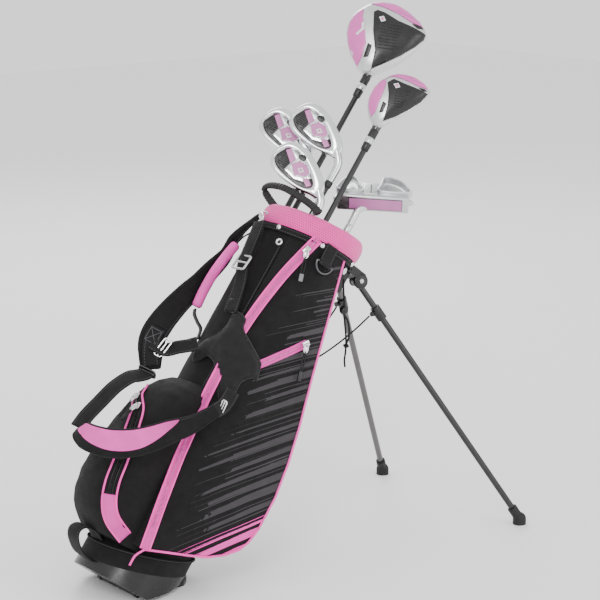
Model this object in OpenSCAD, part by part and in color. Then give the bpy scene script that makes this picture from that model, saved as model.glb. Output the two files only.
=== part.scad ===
// Junior golf stand bag with six clubs, resting on its open legs.
// The origin is on the floor under the middle of the hinged foot plate.
// The bag leans towards +X, and its near leg is on the -Y side.

/* [Bag] */
// Lean of the bag from the vertical while it stands on its legs, in degrees
lean = 37; // [33:1:40]
// Outer radius of the bag tube
bag_r = 75.5; // [74:0.5:77]
// Height of the tilted top rim above the base, along the bag
rim_z = 620; // [600:5:640]
// Tilt of the top rim, higher on the leg side, in degrees
rim_tilt = 6; // [3:1:8]

/* [Legs] */
// Distance along the floor from the foot plate's middle to the feet
foot_x = 637; // [620:1:650]
// Half the distance between the two feet
foot_y = 172; // [160:1:180]
// Distance of the leg pivots from the bag's axis
pivot_x = 106.5; // [104:0.5:110]
// Half the distance between the leg pivots
pivot_y = 25.5; // [24:0.5:28]
// Outer radius of a leg tube
leg_r = 5; // [4:0.5:5.5]

/* [Foot plate] */
// Thickness of the hinged plate under the heel
plate_t = 6; // [5:0.5:7]
// Radius of the plate's hinge pin
plate_pin_r = 2; // [1.5:0.5:2]

/* [Clubs] */
// Radius of a shaft below the ferrule
shaft_r = 4.6; // [4:0.1:5]
// Radius of a rubber grip
grip_r = 10.5; // [10:0.5:10.5]
// Length of a rubber grip
grip_len = 220; // [200:5:240]

/* [Hidden] */
$fn = 48;
big = 900;

// Base: the heel is cut flat by the floor plane, from the hinge line to the back wall
heel_x = 5;
plate_half = 40;
base_x = -plate_half - heel_x * cos(lean);
base_z = heel_x * sin(lean);
boot_r = bag_r + 3.5;
boot_front_h = 19;
boot_heel_h = 72;
floor_t = 4;
cut_z = plate_t + 1;
inner_z = cut_z + 5;
hinge_x = -plate_half - 6;
hinge_z = 6;
knuckle_r = 4;
lug_y = 44;
lug_t = 7;

// Tube wall and rim
wall = 3;
ring_in = 67;
cuff_r = 83;

// Leg directions, from the pivot to the foot
tip_z = 9;
pivot_z = 602;
pivot_w = to_world([pivot_x, -pivot_y, pivot_z]);
leg_vec = [foot_x, -foot_y, tip_z] - pivot_w;
leg_len = norm(leg_vec);
leg_dir = leg_vec / leg_len;
down_dir = [-sin(lean), 0, -cos(lean)];
pin_vec = cross(leg_dir, down_dir);
pin_dir = pin_vec / norm(pin_vec);
clip_at = 64;

// Push rod between the foot plate and the leg bracket, and its two guides on the back of the bag
rod_r = 2.5;
rod_x = boot_r + 5;
rod_foot_z = 73.5;
guide_w = 10;
guide_z = [130, 420];

// Clubs: place in the bag's cross-section, and height of the head above the base
head_turn = -46;
driver_at = [-12, 54, 905];
fairway_at = [-4, -20, 818];
long_iron_at = [-20, -1, 732];
mid_iron_at = [-36, 42, 708];
wedge_at = [-37, -30, 653];
putter_at = [45, -18, 692];
putter_turn = 48;

// Where the hood's draw cord leaves its stud, and its fall from there in the room's own directions
draw_exit = [52, -60, 582];
draw_route = [[0, 0, 0], [-1, 0, -4], [-1, 0, -14], [0, 0, -26], [1, 0, -40], [1, 0, -56], [2, 0, -72],
    [4, 0, -88], [4, -1, -104], [2, -2, -118], [0, -2, -130], [1, -2, -142]];
lock_drop = 50;
knot_drop = 110;

// Sewn pockets: gap to the tube and thickness of their cloth and lining
sewn_gap = 0.15;
cloth_t = 3;

// Grab handle arching over the front of the rim
handle_path = [[-64, 24, 635.5], [-73.5, 40, 640], [-83, 51, 645], [-88, 48, 652], [-87, 36, 656.5],
    [-82, 12, 658], [-71, -19, 653], [-63, -44, 647], [-55, -60, 641]];

// Zips, along their middles
main_path = [[-43, -66, 585], [-48, -61, 560], [-56.5, -54, 516], [-64, -49, 440], [-68, -49, 380],
    [-70.5, -55, 300], [-70.5, -67, 200], [-67, -77, 130], [-60, -81, 78]];
pocket_path = [[-55, -92, 384], [-6, -94.5, 432], [8, -94, 445]];
ball_path = [[-128, -14, 286], [-150, -34, 240], [-163, -52, 190], [-168, -58, 150], [-164, -61, 112],
    [-148, -64, 84], [-118, -66, 68]];

// Side grab handle and towel ring: their place round the bag
grip_turn = 150;
towel_turn = -101;
ring_x = 85;
ring_z = 575;
ring_bar_r = 2;

// Carrying straps: middle lines, and which way their faces look
pad_path = [[-84, 48, 584], [-80, 65, 560], [-74, 72, 529], [-83, 75, 494], [-92, 74, 465],
    [-104, 70, 443], [-119, 62, 415], [-135, 51, 380], [-143, 41, 348], [-135, 33, 323], [-124, 29, 303]];
pad_face = [[1, -2, 0], [1, -2, 0], [1, -2, 0], [0.8, -2, 0], [0.4, -2, 0], [0, -2, 0], [-0.6, -2, 0],
    [-1, -1.7, 0], [-1.3, -1.6, 0], [-1.3, -1.6, 0.2], [-1.3, -1.6, 0.4]];
low_path = [[-203, 8, 164], [-208, -12, 156], [-201, -37, 154], [-186, -59, 163], [-166, -74, 181],
    [-145, -80, 204], [-125, -86, 228], [-103, -92, 252], [-89, -96, 274], [-79, -99, 292]];
low_face = [-0.62, -0.76, -0.19];
back_path = [[-128, 25, 296], [-146, 24, 286], [-164, 23, 268], [-178, 21, 246], [-189, 19, 220],
    [-198, 15, 192], [-202, 12, 178]];
hook_path = [[-97, 8, 586], [-101, 2, 560], [-100, -2, 520], [-97, -6, 488], [-95, -12, 459], [-95, -17, 438]];
side_path = [[-128, 22, 343], [-120, 15, 347], [-112, 7, 358], [-104, -4, 366]];
drop_path = [[-53, -79, 330], [-57, -84, 316], [-66, -91, 303], [-73, -95, 296]];

function to_world(p) = [
    base_x + p[0] * cos(lean) + p[2] * sin(lean),
    p[1],
    base_z - p[0] * sin(lean) + p[2] * cos(lean)
];
// Lowest free height above the base for a club end of radius grip_r at a given x
function club_floor(x) = max(floor_t + 4,
    (inner_z - base_z + (x + grip_r) * sin(lean)) / cos(lean) + 2);
function unit(v) = v / norm(v);
function turn(v) = [-v[1], v[0]];
// Directions along a flat route, averaged at each inner point
function along(p, i) = i == 0 ? unit(p[1] - p[0])
    : i == len(p) - 1 ? unit(p[i] - p[i - 1])
    : unit(unit(p[i] - p[i - 1]) + unit(p[i + 1] - p[i]));
function ribbon(p, t) = concat(
    [for (i = [0 : len(p) - 1]) p[i] + turn(along(p, i)) * t / 2],
    [for (i = [len(p) - 1 : -1 : 0]) p[i] - turn(along(p, i)) * t / 2]
);

module in_bag() translate([base_x, 0, base_z]) rotate([0, lean, 0]) children();
module above(z) translate([-big, -big, z]) cube([2 * big, 2 * big, 3 * big]);
// A cylinder from one point to another
module rod(a, b, r) {
    d = b - a;
    l = norm(d);
    translate(a) rotate([0, acos(d[2] / l), atan2(d[1], d[0])]) cylinder(r = r, h = l);
}
// The space between two heights measured from the tilted rim plane
module rim_slab(z0, z1) translate([0, 0, rim_z]) rotate([0, -rim_tilt, 0])
    translate([-big, -big, z0]) cube([2 * big, 2 * big, z1 - z0]);
module tube(r, r_in, z0, z1) difference() {
    translate([0, 0, z0]) cylinder(r = r, h = z1 - z0, $fn = 96);
    translate([0, 0, z0 - 1]) cylinder(r = r_in, h = z1 - z0 + 2, $fn = 96);
}
// A flat strap: a route in the x-z plane, its width along y
module strap(p, width, thick, y = 0) translate([0, y + width / 2, 0]) rotate([90, 0, 0])
    linear_extrude(width) polygon(ribbon(p, thick));
// A strap of constant width and thickness along a route, its face looking along f at each point
module band(p, f, width, thick) {
    n = len(p);
    t = [for (i = [0 : n - 1]) unit(p[min(i + 1, n - 1)] - p[max(i - 1, 0)])];
    corners = [for (i = [0 : n - 1]) let (o = unit(f[i] - t[i] * (f[i] * t[i])), s = cross(t[i], o))
        for (k = [[1, 1], [-1, 1], [-1, -1], [1, -1]]) p[i] + s * k[0] * width / 2 + o * k[1] * thick / 2];
    skin = [for (i = [0 : n - 2], k = [0 : 3]) let (a = 4 * i + k, b = 4 * i + (k + 1) % 4)
        each [[b, a, a + 4], [b, a + 4, b + 4]]];
    z = 4 * (n - 1);
    ends = [[0, 1, 2], [0, 2, 3], [z + 2, z + 1, z], [z + 3, z + 2, z]];
    polyhedron(corners, concat(skin, ends), convexity = 6);
}
function facing(p, f) = [for (q = p) f];
// A tube swept along a route, one closed skin with eight sides
module swept(p, r) {
    n = len(p);
    t = [for (i = [0 : n - 1]) unit(p[min(i + 1, n - 1)] - p[max(i - 1, 0)])];
    side = unit(cross(t[0], [0.31, 0.95, 0.05]));
    rings = [for (i = [0 : n - 1]) let (u = unit(side - t[i] * (side * t[i])), v = cross(t[i], u))
        for (k = [0 : 7]) p[i] + r * (cos(45 * k) * u + sin(45 * k) * v)];
    skin = [for (i = [0 : n - 2], k = [0 : 7])
        [8 * i + k, 8 * i + (k + 1) % 8, 8 * i + 8 + (k + 1) % 8, 8 * i + 8 + k]];
    ends = [[for (k = [7 : -1 : 0]) k], [for (k = [0 : 7]) 8 * (n - 1) + k]];
    polyhedron(rings, concat(skin, ends), convexity = 6);
}

// ---- Base ----
module boot() color("#1b1b1d") difference() {
    union() {
        intersection() {
            in_bag() difference() {
                cylinder(r = boot_r, h = boot_heel_h + 8, $fn = 96);
                translate([-boot_r, 0, boot_front_h])
                    rotate([0, -atan((boot_heel_h - boot_front_h) / (2 * boot_r)), 0])
                    translate([-60, -150, 0]) cube([320, 300, 160]);
            }
            above(cut_z);
        }
        for (s = [-1, 1]) translate([hinge_x, s * (lug_y + lug_t / 2) + lug_t / 2, hinge_z])
            rotate([90, 0, 0]) cylinder(r = knuckle_r + 1, h = lug_t);
    }
    intersection() {
        in_bag() translate([0, 0, floor_t]) cylinder(r = bag_r, h = 120, $fn = 96);
        above(inner_z);
    }
    translate([hinge_x, lug_y, hinge_z]) rotate([90, 0, 0]) cylinder(r = knuckle_r + 1.5, h = 2 * lug_y);
    translate([hinge_x, lug_y + 20, hinge_z]) rotate([90, 0, 0])
        cylinder(r = plate_pin_r, h = 2 * lug_y + 40);
}
module foot_plate() color("#232326") difference() {
    union() {
        linear_extrude(plate_t) intersection() {
            translate([hinge_x + 4, -52]) square([114, 104]);
            union() {
                translate([hinge_x, -52]) square([66, 104]);
                translate([4, 0]) circle(r = 62, $fn = 96);
                translate([40, -12]) square([36, 24]);
            }
            union() {
                translate([hinge_x + 8, -60]) square([120, 120]);
                translate([hinge_x, -lug_y + 1]) square([12, 2 * lug_y - 2]);
            }
        }
        translate([hinge_x, lug_y - 1, hinge_z]) rotate([90, 0, 0])
            cylinder(r = knuckle_r, h = 2 * lug_y - 2);
    }
    translate([hinge_x, lug_y + 20, hinge_z]) rotate([90, 0, 0])
        cylinder(r = plate_pin_r + 0.05, h = 2 * lug_y + 40);
}
module plate_pin() color("#b8babd") translate([hinge_x, lug_y + lug_t, hinge_z]) rotate([90, 0, 0])
    cylinder(r = plate_pin_r, h = 2 * (lug_y + lug_t));

// ---- Tube and rim ----
module bag_shell() color("#262427") intersection() {
    in_bag() intersection() {
        tube(bag_r, bag_r - wall, floor_t, rim_z + 60);
        rim_slab(-2 * rim_z, -6);
    }
    above(inner_z);
}
module stay_rods() color("#3a3a3d") in_bag() for (s = [-1, 1])
    translate([0, s * (bag_r - wall - 3), 20]) cylinder(r = 3, h = rim_z - 46);
module top_collar() color("#1a1a1c") in_bag() {
    intersection() {
        tube(bag_r, ring_in, rim_z - 40, rim_z + 60);
        rim_slab(-6, 12);
    }
    intersection() {
        tube(bag_r - wall, ring_in, rim_z - 60, rim_z + 60);
        rim_slab(-18, -5.9);
    }
    intersection() {
        cylinder(r = ring_in + 2, h = rim_z + 60, $fn = 96);
        rim_slab(-18, 8);
        union() {
            translate([-big, 20, 0]) cube([2 * big, 4, 3 * big]);
            translate([13, -big, 0]) cube([4, big + 20, 3 * big]);
        }
    }
}
module cuff_pad() color("#ff6fc0") in_bag() difference() {
    translate([0, 0, rim_z]) rotate([0, -rim_tilt, 0]) rotate_extrude($fn = 96) union() {
        translate([73, -13]) square([cuff_r - 73, 26]);
        translate([ring_in + 3, 12]) square([cuff_r - ring_in - 8, 6]);
        translate([cuff_r - 5, 13]) circle(r = 5);
    }
    intersection() {
        cylinder(r = bag_r + 0.02, h = 2 * rim_z, $fn = 96);
        rim_slab(-60, 12);
    }
}
module cuff_trim() color("#202022") in_bag() difference() {
    translate([0, 0, rim_z]) rotate([0, -rim_tilt, 0]) translate([0, 0, -21])
        cylinder(r = cuff_r - 3, h = 8, $fn = 96);
    cylinder(r = bag_r + 0.02, h = 2 * rim_z, $fn = 96);
}
module top_handle() color("#2c2c2f") in_bag() swept(handle_path, 5.5);

// ---- Pockets ----
module pocket_slice(z, x0, y0, x1, y1, inset) translate([0, 0, z]) linear_extrude(2) hull() {
    translate([x0, y0]) circle(r = 8 - inset, $fn = 16);
    translate([x1 - 6, y1 + 6]) circle(r = 6 - inset, $fn = 16);
    translate([x1 - 22, y1 / 3]) circle(r = 6 - inset, $fn = 16);
}
module flank_room(inset) hull() {
    pocket_slice(584 - 3 * inset, -35, -58, 24, -78, inset);
    pocket_slice(520, -52, -46, 34, -90, inset);
    pocket_slice(414, -60, -42, 50, -106, inset);
    pocket_slice(334, -60, -59, 64, -119, inset);
    pocket_slice(225, -60, -69, 76, -130, inset);
    pocket_slice(152, -60, -74, 76, -130, inset);
    pocket_slice(96, -56, -78, 30, -126, inset);
    pocket_slice(66 + inset, -52, -76, -20, -112, inset);
}
module flank_pocket() color("#2b292c") in_bag() difference() {
    flank_room(0);
    difference() {
        flank_room(cloth_t);
        cylinder(r = bag_r + cloth_t, h = rim_z, $fn = 96);
    }
    cylinder(r = bag_r + sewn_gap, h = rim_z, $fn = 96);
    cylinder(r = boot_r + 0.5, h = boot_heel_h + 6, $fn = 96);
}
module far_side_pocket() color("#2b292c") in_bag() difference() {
    hull() {
        for (z = [92, 300]) translate([0, 0, z]) linear_extrude(2) hull() {
            translate([-36, 58]) square([72, 2]);
            translate([-34, 77]) circle(r = 8, $fn = 16);
            translate([38, 76]) circle(r = 8, $fn = 16);
        }
        for (z = [120, 250]) translate([0, 0, z]) linear_extrude(2) hull() {
            translate([-30, 96]) circle(r = 12, $fn = 16);
            translate([38, 94]) circle(r = 12, $fn = 16);
        }
    }
    cylinder(r = bag_r + sewn_gap, h = rim_z, $fn = 96);
}
module ball_room(inset) hull() for (s = [-1, 1]) {
    translate([-64, s * 30, 60 + inset]) cylinder(r = 12 - inset, h = 236 - 2 * inset, $fn = 20);
    translate([-128, s * 39, 84]) sphere(r = 22 - inset, $fn = 24);
    translate([-140, s * 34, 122]) sphere(r = 26 - inset, $fn = 24);
    translate([-130, s * 34, 220]) sphere(r = 22 - inset, $fn = 24);
    translate([-106, s * 36, 266]) sphere(r = 20 - inset, $fn = 24);
}
module ball_pocket() color("#242226") in_bag() difference() {
    ball_room(0);
    difference() {
        ball_room(cloth_t);
        cylinder(r = boot_r + 0.5 + cloth_t, h = rim_z, $fn = 96);
    }
    cylinder(r = bag_r + sewn_gap, h = rim_z, $fn = 96);
    cylinder(r = boot_r + 0.5, h = boot_heel_h + 6, $fn = 96);
}

// ---- Handles and straps ----
module grip_handle() color("#ff7ccb") in_bag() rotate([0, 0, grip_turn]) union() {
    rod([97, 0, 548], [106, 0, 490], 8);
    rod([106, 0, 490], [105, 0, 431], 8);
    translate([106, 0, 490]) sphere(r = 8);
}
module handle_webbing() color("#1c1c1e") in_bag() rotate([0, 0, grip_turn]) {
    strap([[96.6, 550], [94, 562], [86, 576], [79, 580], [77.2, 588]], 20, 3);
    strap([[104.8, 429], [102, 416], [90, 402], [79, 396], [77.2, 380]], 20, 3);
}
module base_loop() color("#1c1c1e") in_bag()
    strap([[-81, 44], [-96, 54], [-116, 52], [-124, 42], [-118, 28], [-98, 15], [-81, 14]], 30, 3, 4);
module shoulder_strap() color("#1d1c1f") in_bag() band(pad_path, pad_face, 38, 8);
module hip_strap() color("#1d1c1f") in_bag() band(low_path, facing(low_path, low_face), 38, 7);
module strap_yoke() color("#1f1e21") in_bag() intersection() {
    tube(bag_r + 20.5, bag_r + 14.5, 350, 430);
    rotate([0, 0, 186]) rotate_extrude(angle = 52, $fn = 96) translate([40, 300]) square([80, 200]);
}
module strap_webbing() color("#1b1b1d") in_bag() {
    band(hook_path, [for (p = hook_path) [p[0], p[1], 0]], 24, 2.4);
    band(side_path, facing(side_path, [-0.75, -0.5, 0.3]), 24, 2.4);
    band(back_path, facing(back_path, [-0.8, -0.45, 0.35]), 24, 2.4);
    band(drop_path, facing(drop_path, [-0.55, -0.83, 0]), 22, 2.4);
}
module strap_buckles() color("#c9cbce") in_bag() {
    translate([-104, -2, 522]) difference() {
        translate([-3, -17, -14]) cube([3.5, 34, 30]);
        translate([-4, -13, -10]) cube([6, 26, 7]);
        translate([-4, -13, 5]) cube([6, 26, 7]);
    }
    translate([-128, 4, 312]) rotate([90, 0, 90]) rotate_extrude() translate([10, 0]) circle(r = 2);
}
module snap_hook() color("#cfd1d4") in_bag() {
    translate([-96, 8, 600]) rotate([90, 0, 20]) rotate_extrude() translate([9, 0]) circle(r = 2);
    translate([-97, 12, 583]) cylinder(r = 4, h = 9);
}
module towel_tab() color("#1b1b1d") in_bag() rotate([0, 0, towel_turn]) {
    difference() {
        union() {
            strap([[82, 604], [82, 590], [83, ring_z + 3]], 22, 3);
            translate([ring_x, 11, ring_z]) rotate([90, 0, 0]) cylinder(r = 4.6, h = 22);
        }
        translate([ring_x, 20, ring_z]) rotate([90, 0, 0]) cylinder(r = ring_bar_r + 0.4, h = 40);
    }
}
module towel_ring() color("#3c3d40") in_bag() rotate([0, 0, towel_turn]) translate([ring_x, 0, ring_z]) {
    translate([0, 15, 0]) rotate([90, 0, 0]) cylinder(r = ring_bar_r, h = 30);
    rotate([90, 0, 90]) rotate([0, 0, 180]) rotate_extrude(angle = 180) translate([15, 0])
        circle(r = ring_bar_r);
}

// ---- Small hardware ----
module stud(a, z, r_at, r, h) rotate([0, 0, a]) translate([r_at - 1, 0, z]) rotate([0, 90, 0])
    cylinder(r = r, h = h + 1);
module rivets() color("#d6d8da") in_bag() {
    for (p = [[-167, 585], [-112, 590], [-54, 597]]) stud(p[0], p[1], bag_r + 1, 4, 2.6);
    stud(-49, draw_exit[2], bag_r + 1, 3.4, 4.2);
    for (p = [[-158, 571], [-63, 586]]) difference() {
        stud(p[0], p[1], bag_r + 1, 5.5, 2.4);
        stud(p[0], p[1], bag_r + 2.2, 2.2, 6);
    }
}
module main_zip() color("#ff8fd0") in_bag() swept(main_path, 4);
module pocket_zip() color("#ff8fd0") in_bag() swept(pocket_path, 3);
module ball_zip() color("#ff8fd0") in_bag() swept(ball_path, 3.4);
// A slider body with its tab, hung from a point on the zip; out is the way the pocket faces
module slider(at, out, down, r) {
    face = at + out * (r + 3.4);
    translate(face) rotate([0, 0, atan2(out[1], out[0])]) translate([-2.6, -4, -6]) cube([5.2, 8, 12]);
    rod(face + out * 3.4 - [0, 0, 2], face + out * 3.4 + down * 46, 1.8);
}
module main_slider() color("#c4c6c9") in_bag()
    slider(main_path[1], unit([-0.62, -0.78, 0]), unit([0.1, -0.1, -1]), 4);
module pocket_slider() color("#c4c6c9") in_bag()
    slider(pocket_path[1], unit([-0.25, -0.97, 0]), unit([0.25, -0.1, -1]), 3);
module ball_slider() color("#c4c6c9") in_bag()
    slider(ball_path[1], unit([-0.62, -0.78, 0]), unit([-0.3, -0.4, -1]), 6.6);

// ---- Legs ----
module bracket_lug(s) {
    d = [pin_dir[0], s * -pin_dir[1], pin_dir[2]];
    p = [pivot_w[0], s * pivot_y, pivot_w[2]];
    for (k = [-1, 1]) rod(p + d * k * 8, p + d * k * 12, 8);
}
module leg_bracket() color("#202023") difference() {
    union() {
        in_bag() {
            difference() {
                union() {
                    translate([60, -34, 566]) cube([20, 68, 36]);
                    translate([60, -guide_w, 566]) cube([32, 2 * guide_w, 50]);
                    translate([60, -40, 602]) cube([46, 80, 14]);
                    for (z = guide_z) translate([60, -guide_w, z - 10]) cube([32, 2 * guide_w, 20]);
                }
                cylinder(r = bag_r + 0.02, h = 2 * rim_z, $fn = 96);
                translate([0, 0, rim_z]) rotate([0, -rim_tilt, 0]) translate([0, 0, -21])
                    cylinder(r = cuff_r + 0.3, h = 80, $fn = 96);
                translate([rod_x, 0, 60]) cylinder(r = rod_r + 0.1, h = 552);
            }
        }
        for (s = [-1, 1]) bracket_lug(s);
    }
    for (s = [-1, 1]) leg_space(s);
    for (s = [-1, 1]) pin_of(s, 2.5, 16);
}
module pin_of(s, r, half) {
    d = [pin_dir[0], s * -pin_dir[1], pin_dir[2]];
    p = [pivot_w[0], s * pivot_y, pivot_w[2]];
    rod(p - d * half, p + d * half, r);
}
module leg_space(s) {
    d = [pin_dir[0], s * -pin_dir[1], pin_dir[2]];
    p = [pivot_w[0], s * pivot_y, pivot_w[2]];
    rod(p - d * 7.9, p + d * 7.9, 9.5);
}
module hinge_pins() color("#b8babd") for (s = [-1, 1]) pin_of(s, 2.5, 13.5);
module leg_solid(s) {
    d = [leg_dir[0], s * -leg_dir[1], leg_dir[2]];
    p = [pivot_w[0], s * pivot_y, pivot_w[2]];
    difference() {
        union() {
            rod(p, p + d * (leg_len - 4), leg_r);
            pin_of(s, 7.4, 7.4);
        }
        pin_of(s, 2.55, 20);
    }
}
module leg_near() color("#3a3b3e") leg_solid(-1);
module leg_far() color("#5a5856") leg_solid(1);
module clip_solid(s) {
    d = [leg_dir[0], s * -leg_dir[1], leg_dir[2]];
    p = [pivot_w[0], s * pivot_y, pivot_w[2]];
    a = p + d * clip_at;
    difference() {
        union() {
            rod(a - d * 12, a + d * 12, 8);
            rod(a - [5, 0, 0], a - [15, 0, 0], 4);
        }
        rod(p, p + d * leg_len, leg_r);
        translate(a - [11, 0, 0]) rotate([90, 0, 0]) cylinder(r = 1.8, h = 30, center = true);
    }
}
module clip_near() color("#1c1c1e") clip_solid(-1);
module clip_far() color("#1c1c1e") clip_solid(1);
module tip_solid(s) {
    d = [leg_dir[0], s * -leg_dir[1], leg_dir[2]];
    p = [pivot_w[0], s * pivot_y, pivot_w[2]];
    a = p + d * leg_len;
    difference() {
        intersection() {
            union() {
                rod(a - d * 24, a, 8);
                translate(a) sphere(r = 11);
                translate([a[0], a[1], 0]) cylinder(r = 11, h = 9);
            }
            above(0);
        }
        rod(p, p + d * (leg_len - 4), leg_r);
    }
}
module tip_near() color("#161617") tip_solid(-1);
module tip_far() color("#161617") tip_solid(1);
module push_rod() color("#8d8f92") in_bag() {
    translate([rod_x, 0, rod_foot_z]) cylinder(r = rod_r, h = 600 - rod_foot_z);
    translate([rod_x, 0, rod_foot_z]) sphere(r = 4);
}
// Cord from clip to clip through a keeper on the back of the bag
keeper = to_world([bag_r + 9, 0, guide_z[1]]);
function clip_eye(s) = [pivot_w[0], s * pivot_y, pivot_w[2]]
    + [leg_dir[0], s * -leg_dir[1], leg_dir[2]] * clip_at - [11, 0, 0];
function sagging(a, b, drop, n) = [for (i = [0 : n])
    a + (b - a) * i / n - [0, 0, 4 * drop * i / n * (1 - i / n)]];
module spread_cord() color("#161617") {
    swept(sagging(clip_eye(-1) - [5, -3.5, 3.5], keeper - [0, guide_w + 1.7, 0], 10, 12), 1.5);
    swept(sagging(clip_eye(1) - [5, 3.5, 3.5], keeper + [0, guide_w + 1.7, 0], 10, 12), 1.5);
}
// Hanging draw cord of the rain hood: straight out of the rim, then down under its own weight
draw_start = to_world(draw_exit);
module draw_cord() color("#161617") swept([for (p = draw_route) draw_start + p], 1.6);
module cord_lock() color("#19191b") {
    translate(draw_start - [0, 0, lock_drop]) sphere(r = 7.5);
    translate(draw_start + [3, 0, -knot_drop]) sphere(r = 4.5);
}

// ---- Clubs ----
module at_head(c) in_bag() translate([c[0], c[1], c[2]]) rotate([0, 0, head_turn]) children();
module club_shaft(c, top) in_bag() translate([c[0], c[1], 0]) {
    z0 = club_floor(c[0]);
    translate([0, 0, z0 + grip_len - 6]) cylinder(r1 = 6.6, r2 = shaft_r, h = 160);
    translate([0, 0, z0 + grip_len + 153]) cylinder(r = shaft_r, h = c[2] + top - z0 - grip_len - 153);
    translate([0, 0, c[2] - 22]) cylinder(r1 = shaft_r + 0.2, r2 = 6.4, h = 22 + top);
}
module club_grip(c) in_bag() translate([c[0], c[1], club_floor(c[0])]) difference() {
    union() {
        translate([0, 0, 3]) cylinder(r1 = grip_r, r2 = 8, h = grip_len - 3);
        cylinder(r = grip_r, h = 3.5);
    }
    translate([0, 0, grip_len - 6]) cylinder(r = 6.7, h = 20);
}
// A wood's head: a rounded outline, thickest towards the middle
wood_outline = [[-6, 3], [-22, 13], [-42, 32], [-53, 52], [-54, 76], [-46, 98], [-30, 116], [-4, 126],
    [24, 125], [46, 115], [58, 103], [47, 72], [28, 38], [8, 6]];
small_outline = [[-5, 3], [-15, 14], [-23, 34], [-22, 60], [-12, 86], [3, 101], [28, 104], [48, 101],
    [56, 92], [42, 58], [16, 19], [7, 5]];
module wood_head(p, c, front, back) {
    hull() {
        translate([0, front * 0.6, 0]) rotate([90, 0, 0]) linear_extrude(front * 0.6 + back * 0.4)
            polygon(p);
        translate([c[0] * 0.2, front, c[1] * 0.2]) rotate([90, 0, 0]) scale(0.8)
            linear_extrude(1) polygon(p);
        translate([c[0] * 0.12, -back, c[1] * 0.12]) rotate([90, 0, 0]) scale(0.88)
            linear_extrude(1) polygon(p);
    }
    translate([0, 0, -1]) cylinder(r = 6.8, h = 16);
}
module driver_head() color("#2a282b") at_head(driver_at) wood_head(wood_outline, [4, 68], 26, 22);
module fairway_head() color("#2a282b") at_head(fairway_at) wood_head(small_outline, [8, 56], 20, 15);
iron_outline = [[-7, 17], [-4, 30], [-10, 42], [-27, 55], [-48, 70], [-66, 79], [-80, 80], [-91, 74],
    [-100, 60], [-104, 44], [-102, 29], [-94, 20], [-72, 15], [-40, 12], [-18, 14], [-10, 10]];
iron_pocket = [[-30, 24], [-26, 34], [-42, 52], [-62, 67], [-78, 70], [-90, 62], [-94, 46], [-92, 32],
    [-70, 23], [-44, 21]];
module iron_head() {
    difference() {
        translate([0, 6, 0]) rotate([90, 0, 0]) linear_extrude(14) polygon(iron_outline);
        translate([0, -1, 0]) rotate([90, 0, 0]) linear_extrude(12) polygon(iron_pocket);
    }
    translate([0, 0, -1]) cylinder(r = 6.5, h = 30);
}
module long_iron_head() color("#c8cacd") at_head(long_iron_at) iron_head();
module mid_iron_head() color("#c8cacd") at_head(mid_iron_at) iron_head();
module wedge_head() color("#c8cacd") at_head(wedge_at) iron_head();
module putter_head() color("#c3c5c8") at_head(putter_at) {
    translate([0, 0, -1]) cylinder(r = 6, h = 20);
    translate([12, 0, 30]) rotate([0, -24, 0]) rotate([putter_turn, 0, 0]) difference() {
        union() {
            translate([-56, -12, -14]) cube([116, 13, 28]);
            translate([-54, 0, -12]) cube([112, 50, 14]);
        }
        for (x = [-44, 10]) translate([x, 7, -4]) cube([34, 34, 20]);
    }
}
module driver_shaft() color("#1b1b1d") club_shaft(driver_at, -1);
module fairway_shaft() color("#1b1b1d") club_shaft(fairway_at, -1);
module long_iron_shaft() color("#1b1b1d") club_shaft(long_iron_at, -1);
module mid_iron_shaft() color("#1b1b1d") club_shaft(mid_iron_at, -1);
module wedge_shaft() color("#1b1b1d") club_shaft(wedge_at, -1);
module putter_shaft() color("#1b1b1d") club_shaft(putter_at, -1);
module driver_grip() color("#19191b") club_grip(driver_at);
module fairway_grip() color("#19191b") club_grip(fairway_at);
module long_iron_grip() color("#19191b") club_grip(long_iron_at);
module mid_iron_grip() color("#19191b") club_grip(mid_iron_at);
module wedge_grip() color("#19191b") club_grip(wedge_at);
module putter_grip() color("#19191b") club_grip(putter_at);

boot();
foot_plate();
plate_pin();
bag_shell();
stay_rods();
top_collar();
cuff_pad();
cuff_trim();
top_handle();
flank_pocket();
far_side_pocket();
ball_pocket();
grip_handle();
handle_webbing();
base_loop();
shoulder_strap();
hip_strap();
strap_yoke();
strap_webbing();
strap_buckles();
snap_hook();
towel_tab();
towel_ring();
rivets();
main_zip();
main_slider();
pocket_zip();
pocket_slider();
ball_zip();
ball_slider();
leg_bracket();
hinge_pins();
leg_near();
leg_far();
clip_near();
clip_far();
tip_near();
tip_far();
push_rod();
spread_cord();
draw_cord();
cord_lock();
driver_head();
driver_shaft();
driver_grip();
fairway_head();
fairway_shaft();
fairway_grip();
long_iron_head();
long_iron_shaft();
long_iron_grip();
mid_iron_head();
mid_iron_shaft();
mid_iron_grip();
wedge_head();
wedge_shaft();
wedge_grip();
putter_head();
putter_shaft();
putter_grip();
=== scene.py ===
import math
import bpy
import bmesh
import numpy as np
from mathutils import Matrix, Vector, noise

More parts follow.
